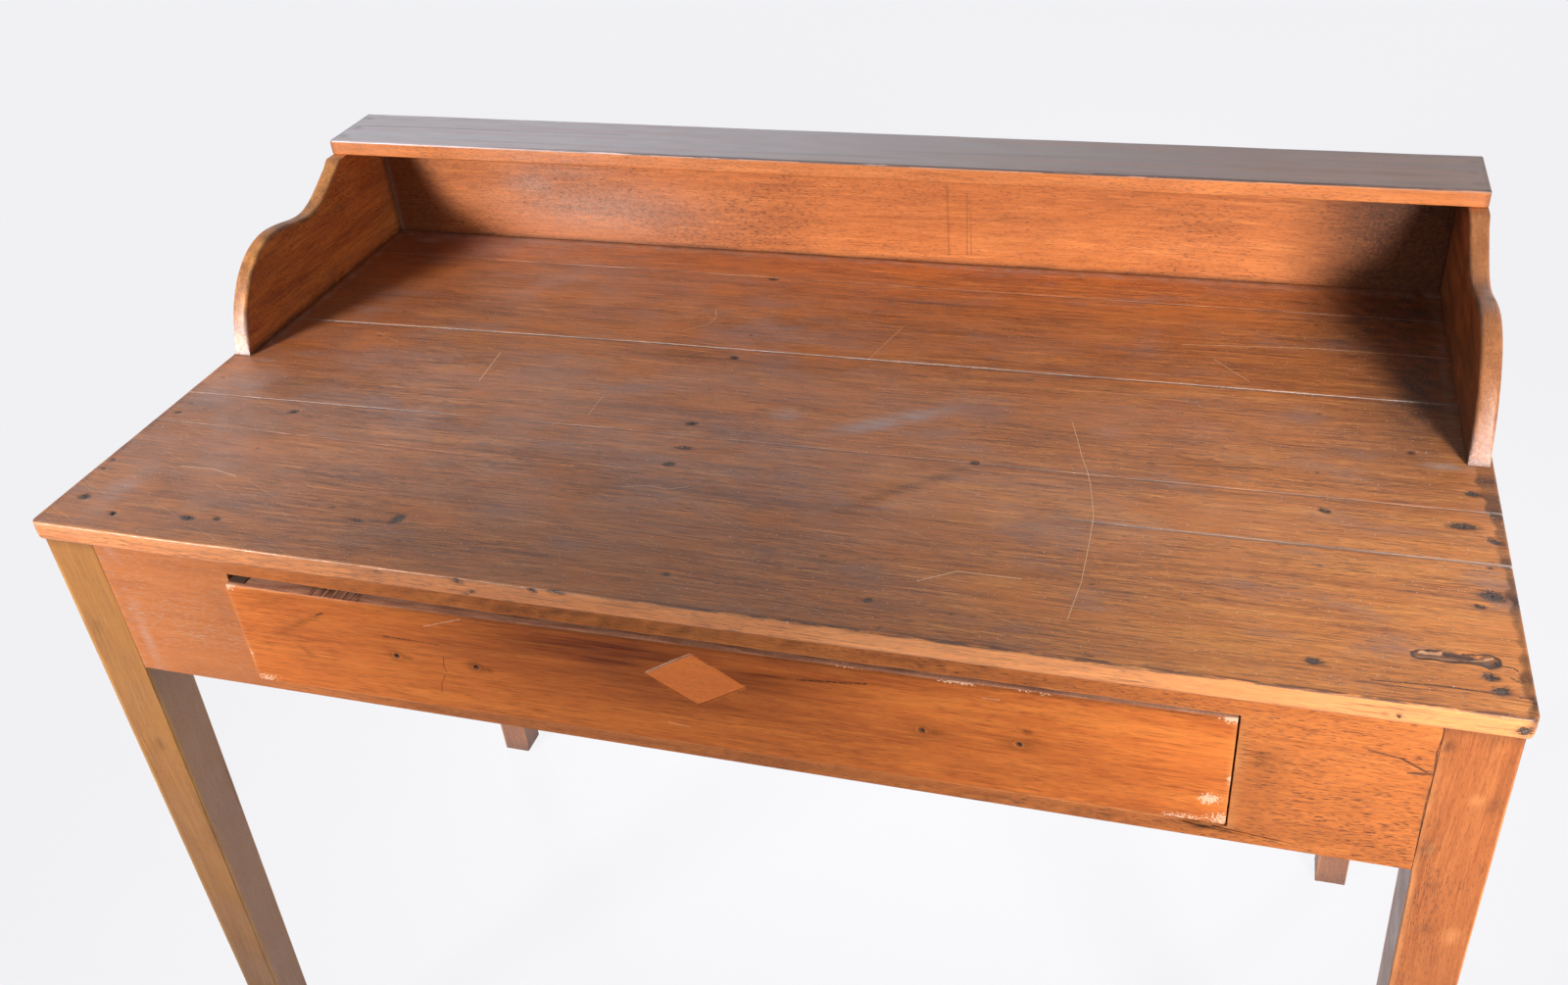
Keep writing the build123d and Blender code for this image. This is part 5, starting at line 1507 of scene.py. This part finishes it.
def cut_mesh(shape, cutter, name):
    """Mesh of a shape with another taken out of it, worked out exactly."""
    whole = bpy.data.objects.new(name, shape.mesh(name))
    tool = bpy.data.objects.new(name + "_tool", cutter.mesh(name + "_tool"))
    for thing in (whole, tool):
        bpy.context.scene.collection.objects.link(thing)
    cut = whole.modifiers.new("cut", "BOOLEAN")
    cut.operation = "DIFFERENCE"
    cut.solver = "EXACT"
    cut.object = tool
    bpy.context.view_layer.update()
    ready = whole.evaluated_get(bpy.context.evaluated_depsgraph_get())
    mesh = bpy.data.meshes.new_from_object(ready)
    mesh.name = name
    for thing in (whole, tool):
        old = thing.data
        bpy.data.objects.remove(thing)
        bpy.data.meshes.remove(old)
    if len(mesh.polygons) == 0:
        raise RuntimeError(f"the cut left nothing of {name}")
    mesh.set_sharp_from_angle(angle=math.radians(32.0))
    return mesh


def lozenge_plate():
    """Diamond let into the drawer front, its face a hair below the drawer's."""
    corners = lozenge_outline(0.0)
    sides = [np.linspace(start, end, 12, endpoint=False) for start, end in
             zip(corners, np.roll(corners, -1, axis=0))]
    outline = np.vstack(sides)
    rings = slab(outline, 0.12, LOZENGE_THICK, np.full(len(outline), 0.25), 1)
    x, z = rings[..., 0], rings[..., 2]
    rise = (LOZENGE_X - x) / LOZENGE_WIDTH + (z - LOZENGE_Z) / LOZENGE_HEIGHT
    dust = 0.6 * ease(rise, 0.462, 0.495)
    dust[0] = dust[-1] = 0.0         # a mark on these rings would smear over the flat faces they bound
    return Shape().loft(in_drawer(rings), {"dust": dust})


def putty_plugs():
    """Putty in the handle holes: a rod whose face sinks to a small dark pit."""
    shape = Shape()
    draw = np.random.default_rng(6)
    for x in HANDLE_HOLE_X:
        lean = draw.uniform(-0.5, 0.5, 2)
        rings = [hole_ring(x, HANDLE_HOLE_R, DRAWER_FRONT_THICK), hole_ring(x, HANDLE_HOLE_R, 0.6)]
        grime = [0.0, 0.3]
        for share, depth, dirt in ((0.85, 0.2, 0.0), (0.6, 0.45, 0.1), (0.4, 1.2, 0.8), (0.2, 2.0, 1.0)):
            ring = hole_ring(x, HANDLE_HOLE_R * share, depth)
            ring[:, 0] += lean[0] * (1.0 - share)
            ring[:, 2] += lean[1] * (1.0 - share)
            rings.append(ring)
            grime.append(dirt)
        shape.loft(in_drawer(rings), {"grime": np.array(grime)[:, None]})
    return shape


# ---- Nails ----

def cut_nail(head, tip, long, wide, turn, seed):
    """Rings of a cut nail: a ragged rectangular head, and a square shank that tapers to its tip.

    A ring is the superellipse |u/a|^3 + |v/b|^3 = 1 across the shank, its radius uneven by a tenth.
    """
    head, tip = np.array(head, float), np.array(tip, float)
    run = tip - head
    length = np.linalg.norm(run)
    down = run / length
    guide = np.array((0.0, 0.0, 1.0)) if abs(down[2]) < 0.7 else np.array((1.0, 0.0, 0.0))
    u = guide - down * np.dot(guide, down)
    u = u / np.linalg.norm(u)
    v = np.cross(down, u)
    angle = np.linspace(0.0, 2.0 * math.pi, 14, endpoint=False)
    draw = np.random.default_rng(seed)
    ragged = 1.0 + 0.1 * draw.uniform(-1.0, 1.0, len(angle))
    radius = ragged / (np.abs(np.cos(angle)) ** 3 + np.abs(np.sin(angle)) ** 3) ** (1.0 / 3.0)
    spin = math.radians(turn)
    shank = 1.1
    profile = ((0.0, 0.55 * long, 0.55 * wide), (0.12, 0.85 * long, 0.85 * wide), (0.45, long, wide),
               (1.2, 0.9 * long, 0.9 * wide), (1.7, 2 * shank, 2 * shank),
               (0.7 * length, 2 * shank, 1.6 * shank), (length, 0.8 * shank, 0.8 * shank))
    rings = []
    for depth, along, side in profile:
        a = 0.5 * along * radius * np.cos(angle)
        b = 0.5 * side * radius * np.sin(angle)
        rings.append(head + down * depth + np.outer(a * math.cos(spin) - b * math.sin(spin), u)
                     + np.outer(a * math.sin(spin) + b * math.cos(spin), v))
    return np.array(rings)


NAIL_SET = 0.75                  # depth of a nail's head below the wood round it
TOP_NAIL_LENGTH = 42.0
BATTEN_NAIL_LENGTH = 28.0
NAIL_INSET = 6.0                 # from the sides of the piece that a nail holds
SIDE_NAIL_LENGTH = 38.0
HEAD_SHARE = 0.62                # a nail's head against the length and width of its dark mark
SHELF_NAIL_Y = (508.0, 532.0, 558.0)
SHELF_BACK_NAIL_X = (-400.0, -205.0, 0.0, 195.0, 390.0)
BACK_NAIL_UP = (20.0, 56.0, 92.0)
JOINT_NAILS = ((507.0, 636.0), (504.0, 728.0))
JOINT_NAIL_LENGTH = 24.0


def face_nails(shape, rows, held, length, seed):
    """Nails down through the table top, their tips drawn in over the piece that they hold."""
    for number, (x, y, long, wide, turn) in enumerate(rows):
        over_apron = y < FRAME_FRONT + APRON_THICK
        tip_x = x if over_apron else min(max(x, min(held)), max(held))
        head = (x, y, TOP_FACE - NAIL_SET - 0.2)
        tip = (tip_x, y, TOP_FACE - length)
        long, wide = min(long, 9.0) * HEAD_SHARE, min(wide, 6.0) * HEAD_SHARE
        shape.loft(cut_nail(head, tip, long, wide, 90.0 - turn, seed + number))


def row_of_nails(shape, places, direction, length, seed, long=4.2, wide=3.0):
    """Nails of one size along a direction, each with its head just under the surface."""
    direction = np.array(direction, float)
    for number, place in enumerate(places):
        head = np.array(place, float) + direction * 0.35
        shape.loft(cut_nail(head, head + direction * length, long, wide, 17.0 * number, seed + number))
    return shape


# ---- Camera, lamps and floor ----

CAMERA_PLACE = (0.34658, -0.98952, 1.38713)
CAMERA_TURN = (56.5927, 3.8041, 15.7312)      # degrees about X, Y and Z
CAMERA_LENS = 32.9147
CAMERA_SENSOR = 36.0
CAMERA_SHIFT = (-0.02336, -0.02174)


def make_camera():
    """Camera at the height and angle of someone standing in front of the desk's right half."""
    lens = bpy.data.cameras.new("Desk_camera")
    lens.lens = CAMERA_LENS
    lens.sensor_width = CAMERA_SENSOR
    lens.shift_x, lens.shift_y = CAMERA_SHIFT
    camera = bpy.data.objects.new("Desk_camera", lens)
    camera.location = CAMERA_PLACE
    camera.rotation_euler = [math.radians(angle) for angle in CAMERA_TURN]
    bpy.context.scene.collection.objects.link(camera)
    bpy.context.scene.camera = camera


# Two softboxes stand in front of the desk, each aimed at its own half
LEFT_LAMP, LEFT_AIM = (-1.57, -1.81, 1.45), (-0.56, -0.05, 0.62)
RIGHT_LAMP, RIGHT_AIM = (1.47, -1.86, 1.45), (0.54, -0.02, 0.62)
LAMP_SIZE = 0.54
LAMP_SPREAD = 34.0               # degrees across the beam of a softbox with a grid
# Two more stand low behind it and light its back and its ends
REAR_LAMP, REAR_AIM = (1.75, 1.9, 0.5), (0.35, 0.2, 0.42)


def make_lamp(name, place, target, watts, shine=True):
    """Soft square lamp that looks from one place at another. Without shine it leaves no highlight."""
    light = bpy.data.lights.new(name, "AREA")
    light.shape = "SQUARE"
    light.size = LAMP_SIZE
    light.spread = math.radians(LAMP_SPREAD)
    light.energy = watts
    lamp = bpy.data.objects.new(name, light)
    direction = np.array(target) - np.array(place)
    flat = math.hypot(direction[0], direction[1])
    lamp.location = place
    lamp.visible_glossy = shine
    lamp.rotation_euler = (math.pi / 2 + math.atan2(direction[2], flat), 0.0,
                           math.atan2(direction[1], direction[0]) - math.pi / 2)
    bpy.context.scene.collection.objects.link(lamp)


def make_world(settings):
    """Pale backdrop for the camera and glossy rays, and a dimmer even light for the surfaces."""
    world = bpy.data.worlds.new("Studio_air")
    world.use_nodes = True
    air = Nodes(world.node_tree)
    air.tree.nodes.clear()
    dim = air.add("ShaderNodeBackground", 0,
                  {"Color": tuple(settings.air_colour), "Strength": settings.air_light})
    shown = air.add("ShaderNodeBackground", 0, {"Color": tuple(settings.backdrop_colour), "Strength": 1.0})
    mixed = air.add("ShaderNodeMixShader", 0, {0: air.seen(), 1: dim, 2: shown})
    air.tree.links.new(mixed, air.tree.nodes.new("ShaderNodeOutputWorld").inputs[0])
    bpy.context.scene.world = world


def make_floor(settings):
    """Wide flat floor at z = 0, with 96 sides."""
    shape = bmesh.new()
    bmesh.ops.create_circle(shape, cap_ends=True, segments=96, radius=settings.floor_radius)
    mesh = bpy.data.meshes.new("Studio_floor")
    shape.to_mesh(mesh)
    shape.free()
    mesh.materials.append(floor_finish(settings))
    floor = bpy.data.objects.new("Studio_floor", mesh)
    bpy.context.scene.collection.objects.link(floor)


# ---- Settings ----

class DeskWear(bpy.types.PropertyGroup):
    """Sizes of the desk's wear."""

    nosing_upper: FloatProperty(name="Upper nosing", description="Radius of the table top's upper arris",
                                default=0.0018, min=0.0005, unit="LENGTH")
    nosing_lower: FloatProperty(name="Lower nosing", description="Radius of the table top's lower arris",
                                default=0.004, min=0.0005, unit="LENGTH")
    arris: FloatProperty(name="Leg arris", description="Radius of the legs' worn arrises",
                         default=0.0017, min=0.0005, unit="LENGTH")
    eased: FloatProperty(name="Eased edges", description="Bevel on the pieces that only show underneath",
                         default=0.0005, min=0.0001, unit="LENGTH")


class DeskStudio(bpy.types.PropertyGroup):
    """Light and background of the studio."""

    floor_colour: FloatVectorProperty(name="Floor", description="Colour of the studio floor", size=3,
                                      subtype="COLOR", default=screen(251, 251, 254))
    backdrop_colour: FloatVectorProperty(name="Backdrop", description="Colour behind the desk", size=3,
                                         subtype="COLOR", default=screen(250, 250, 254))
    air_colour: FloatVectorProperty(name="Room light", description="Colour of the even light", size=3,
                                    subtype="COLOR", default=(0.96, 0.97, 1.0))
    air_light: FloatProperty(name="Room light strength", description="Strength of the even light",
                             default=0.07, min=0.0)
    floor_glow: FloatProperty(name="Floor glow", description="Share of the floor's shown colour that no "
                              "shadow reaches", default=0.9, min=0.0, max=1.0, subtype="FACTOR")
    floor_radius: FloatProperty(name="Floor radius", description="Radius of the floor", default=30.0,
                                min=5.0, unit="LENGTH")
    left_lamp: FloatProperty(name="Left lamp", description="Power of the front left lamp in watts",
                             default=4.3, min=0.0)
    right_lamp: FloatProperty(name="Right lamp", description="Power of the front right lamp in watts",
                              default=4.85, min=0.0)
    rear_lamps: FloatProperty(name="Rear lamps", description="Power of each lamp behind the desk in watts",
                              default=3.4, min=0.0)


# ---- Operators ----

class DESK_OT_stage(bpy.types.Operator):
    """Set up the floor, the room's light, four soft lamps and the camera"""

    bl_idname = "desk.stage"
    bl_label = "Studio and camera"

    def execute(self, context):
        settings = context.scene.desk_studio
        context.scene.view_settings.view_transform = "Standard"
        make_floor(settings)
        make_world(settings)
        make_lamp("Lamp_front_left", LEFT_LAMP, LEFT_AIM, settings.left_lamp)
        make_lamp("Lamp_front_right", RIGHT_LAMP, RIGHT_AIM, settings.right_lamp)
        for _, side in SIDES:
            mirror = np.array((side, 1.0, 1.0))
            make_lamp("Lamp_rear", REAR_LAMP * mirror, REAR_AIM * mirror, settings.rear_lamps, False)
        make_camera()
        return {"FINISHED"}


class DESK_OT_table_top(bpy.types.Operator):
    """Build the five worn boards of the table top"""

    bl_idname = "desk.table_top"
    bl_label = "Table top"

    def execute(self, context):
        finish = top_finish()
        for number in range(1, len(JOINTS) + 2):
            board = top_board(number, context.scene.desk_wear)
            worn_piece(f"top_board_{number}", board, "root", finish)
        return {"FINISHED"}


class DESK_OT_legs(bpy.types.Operator):
    """Build the four tapered legs"""

    bl_idname = "desk.legs"
    bl_label = "Legs"

    def execute(self, context):
        plain = polished_wood("Leg_polish", "z", LEG_TONES, streaks=0.5, threads=0.5, pores=0.65)
        olive = polished_wood("Left_leg_polish", "z", OLIVE_LEG_TONES, WORN_OLIVE, streaks=0.45, pores=0.35,
                              pore_length=7.0, seed=2.0)
        for name, side in SIDES:
            for place, end in (("front", -1), ("back", 1)):
                node = f"leg_{place}_{name}"
                finish = olive if node == "leg_front_left" else plain
                worn_piece(node, leg(side, end, context.scene.desk_wear), "root", finish)
        return {"FINISHED"}


class DESK_OT_aprons(bpy.types.Operator):
    """Build the front, side and back aprons"""

    bl_idname = "desk.aprons"
    bl_label = "Aprons"

    def execute(self, context):
        worn_piece("apron_front", pierced_apron(), "root", apron_finish())
        along_y = polished_wood("Side_apron_polish", "y", APRON_TONES, pores=0.6, seed=5.0)
        run = (FRAME_FRONT + LEG_SIZE + APRON_PLAY, FRAME_REAR - LEG_SIZE - APRON_PLAY)
        rise = (APRON_UNDER, TOP_UNDER)
        for name, side in SIDES:
            outward = sorted((side * SIDE_APRON_INNER, side * HALF_FRAME))
            rings, _, marks = plank("y", run, rise, outward, PLANK_ARRIS, 110 + side)
            # Darker in a band just under the table top
            marks["grime"] = 0.4 * ease(rings[..., 2], TOP_UNDER - 8.0, TOP_UNDER)
            worn_piece("apron_" + name, Shape().loft(rings, marks), "root", along_y)
        rings, _, marks = plank("x", (-LEG_INNER + APRON_PLAY, LEG_INNER - APRON_PLAY), rise,
                                (-FRAME_REAR, -FRAME_REAR + APRON_THICK), PLANK_ARRIS, 114)
        x, z, y = rings[..., 0], rings[..., 1], -rings[..., 2]
        back = Shape().loft(np.stack((x, y, z), axis=-1), marks)
        worn_piece("apron_back", back, "root", hidden_wood("x", 6.0))
        return {"FINISHED"}


class DESK_OT_gallery(bpy.types.Operator):
    """Build the gallery's sides, back and shelf"""

    bl_idname = "desk.gallery"
    bl_label = "Gallery"

    def execute(self, context):
        # The left side's tones are lighter as painted light; the right side's inner face is darkened with
        # the dirt tone as painted shade
        looks = ((LEFT_SIDE_PAINTED_LIGHT_TONES, SIDE_FILM, 0.3), (RIGHT_SIDE_TONES, DIRT, 0.75))
        for (name, side), look in zip(SIDES, looks):
            finish = gallery_side_finish(name, *look)
            worn_piece("gallery_side_" + name, gallery_side(side), "root", finish)
        worn_piece("gallery_back", gallery_back(), "root", gallery_back_finish())
        worn_piece("gallery_shelf", gallery_shelf(), "root", shelf_finish())
        return {"FINISHED"}


class DESK_OT_drawer(bpy.types.Operator):
    """Build the drawer's front, inlay, putty and inside"""

    bl_idname = "desk.drawer"
    bl_label = "Drawer"

    def execute(self, context):
        inlay = polished_wood("Inlay_polish", "x", INLAY_TONES, streaks=0.25, pore_length=4.0, seed=11.0)
        inside_x = polished_wood("Drawer_inside_x", "x", INSIDE_TONES, INSIDE_TONES[0], 0.7, 0.0,
                                 streaks=0.35, pores=0.4, seed=13.0)
        front = cut_mesh(drawer_front_body(), drawer_cutter(), "drawer_front")
        piece("drawer_front_worn", front, "drawer", ["drawer_front"], drawer_finish())
        worn_piece("drawer_lozenge_inlay", lozenge_plate(), "drawer", inlay)
        worn_piece("handle_hole_plugs", putty_plugs(), "drawer", putty_finish())
        eased = context.scene.desk_wear.eased
        for name, _ in SIDES:
            finish = drawer_side_finish(name)
            eased_copy("drawer_side_" + name, "drawer", finish, eased)
        for node in ("drawer_back", "drawer_bottom_front_board", "drawer_bottom_rear_board"):
            eased_copy(node, "drawer", inside_x, eased)
        return {"FINISHED"}


class DESK_OT_under_frame(bpy.types.Operator):
    """Finish the battens, runners, guides, stops and dowels"""

    bl_idname = "desk.under_frame"
    bl_label = "Battens and runners"

    def execute(self, context):
        rough = hidden_wood("y", 14.0)
        eased = context.scene.desk_wear.eased
        nodes = ["top_batten_left", "top_batten_centre", "top_batten_right", "drawer_stops"]
        nodes += [f"drawer_{what}_{name}" for what in ("runner", "guide") for name, _ in SIDES]
        for node in nodes:
            eased_copy(node, "root", rough, eased)
        repaint("gallery_dowels", rough)
        return {"FINISHED"}


class DESK_OT_nails(bpy.types.Operator):
    """Build the cut nails, and finish the nails and screws that stay as they are"""

    bl_idname = "desk.nails"
    bl_label = "Nails"

    def execute(self, context):
        ends, battens, sides = Shape(), Shape(), Shape()
        for rows, side in ((NAILS_LEFT_END + NAILS_REAR[:4], -1), (NAILS_RIGHT_END + NAILS_REAR[4:], 1)):
            held = (side * (SIDE_APRON_INNER + NAIL_INSET), side * (HALF_FRAME - NAIL_INSET))
            face_nails(ends, rows, held, TOP_NAIL_LENGTH, 200 + 30 * side)
        for seed, rows, name in ((260, NAILS_LEFT_BATTEN, "left"), (280, NAILS_CENTRE, "centre"),
                                 (300, NAILS_RIGHT_BATTEN, "right")):
            low, high = span("top_batten_" + name)
            face_nails(battens, rows, (low[0] + NAIL_INSET, high[0] - NAIL_INSET), BATTEN_NAIL_LENGTH, seed)
        middle = GALLERY_HALF - GALLERY_SIDE_THICK / 2
        back = (BACK_LOW[1] + BACK_HIGH[1]) / 2
        places = [(side * middle, y, SHELF_HIGH[2]) for _, side in SIDES for y in SHELF_NAIL_Y]
        places += [(x, back, SHELF_HIGH[2]) for x in SHELF_BACK_NAIL_X]
        shelf = row_of_nails(Shape(), places, (0, 0, -1), SIDE_NAIL_LENGTH, 320)
        for _, side in SIDES:
            places = [(side * GALLERY_HALF, back, TOP_FACE + up) for up in BACK_NAIL_UP]
            row_of_nails(sides, places, (-side, 0, 0), SIDE_NAIL_LENGTH, 340 + side)
        places = [(x, FRAME_FRONT, z) for x, z in JOINT_NAILS]
        joint = row_of_nails(Shape(), places, (0, 1, 0), JOINT_NAIL_LENGTH, 360, 3.4)
        iron = iron_finish()
        for node, shape in (("top_nails", ends), ("batten_nails", battens), ("shelf_nails", shelf),
                            ("gallery_back_nails", sides), ("apron_joint_nails", joint)):
            worn_piece(node, shape, "root", iron, "_cut")
        for node in ("guide_nails", "drawer_back_nails", "drawer_bottom_nails", "gallery_screws"):
            repaint(node, iron)
        return {"FINISHED"}


# ---- Panel and registration ----

STEPS = (DESK_OT_stage, DESK_OT_table_top, DESK_OT_legs, DESK_OT_aprons, DESK_OT_gallery, DESK_OT_drawer,
         DESK_OT_under_frame, DESK_OT_nails)


class DESK_PT_panel(bpy.types.Panel):
    """Sizes of the wear, the studio's light, and a button for each step"""

    bl_idname = "DESK_PT_panel"
    bl_label = "Writing desk"
    bl_space_type = "VIEW_3D"
    bl_region_type = "UI"
    bl_category = "Desk"

    def draw(self, context):
        for settings in (context.scene.desk_wear, context.scene.desk_studio):
            box = self.layout.box()
            for name in settings.bl_rna.properties.keys():
                if name not in ("rna_type", "name"):
                    box.prop(settings, name)
        for step in STEPS:
            self.layout.operator(step.bl_idname)


CLASSES = (DeskWear, DeskStudio, *STEPS, DESK_PT_panel)


def register():
    """Register the classes and hang the settings on the scene."""
    for cls in CLASSES:
        bpy.utils.register_class(cls)
    bpy.types.Scene.desk_wear = PointerProperty(type=DeskWear)
    bpy.types.Scene.desk_studio = PointerProperty(type=DeskStudio)


def unregister():
    """Take the settings and the classes away again."""
    del bpy.types.Scene.desk_studio
    del bpy.types.Scene.desk_wear
    for cls in reversed(CLASSES):
        bpy.utils.unregister_class(cls)


def corners(bounds):
    """A box's two corners as plain lists."""
    return [list(corner) for corner in bounds]


def main():
    """Build the whole desk."""
    register()
    for step in STEPS:
        group, name = step.bl_idname.split(".")
        getattr(getattr(bpy.ops, group), name)()


if __name__ == "__main__":
    main()
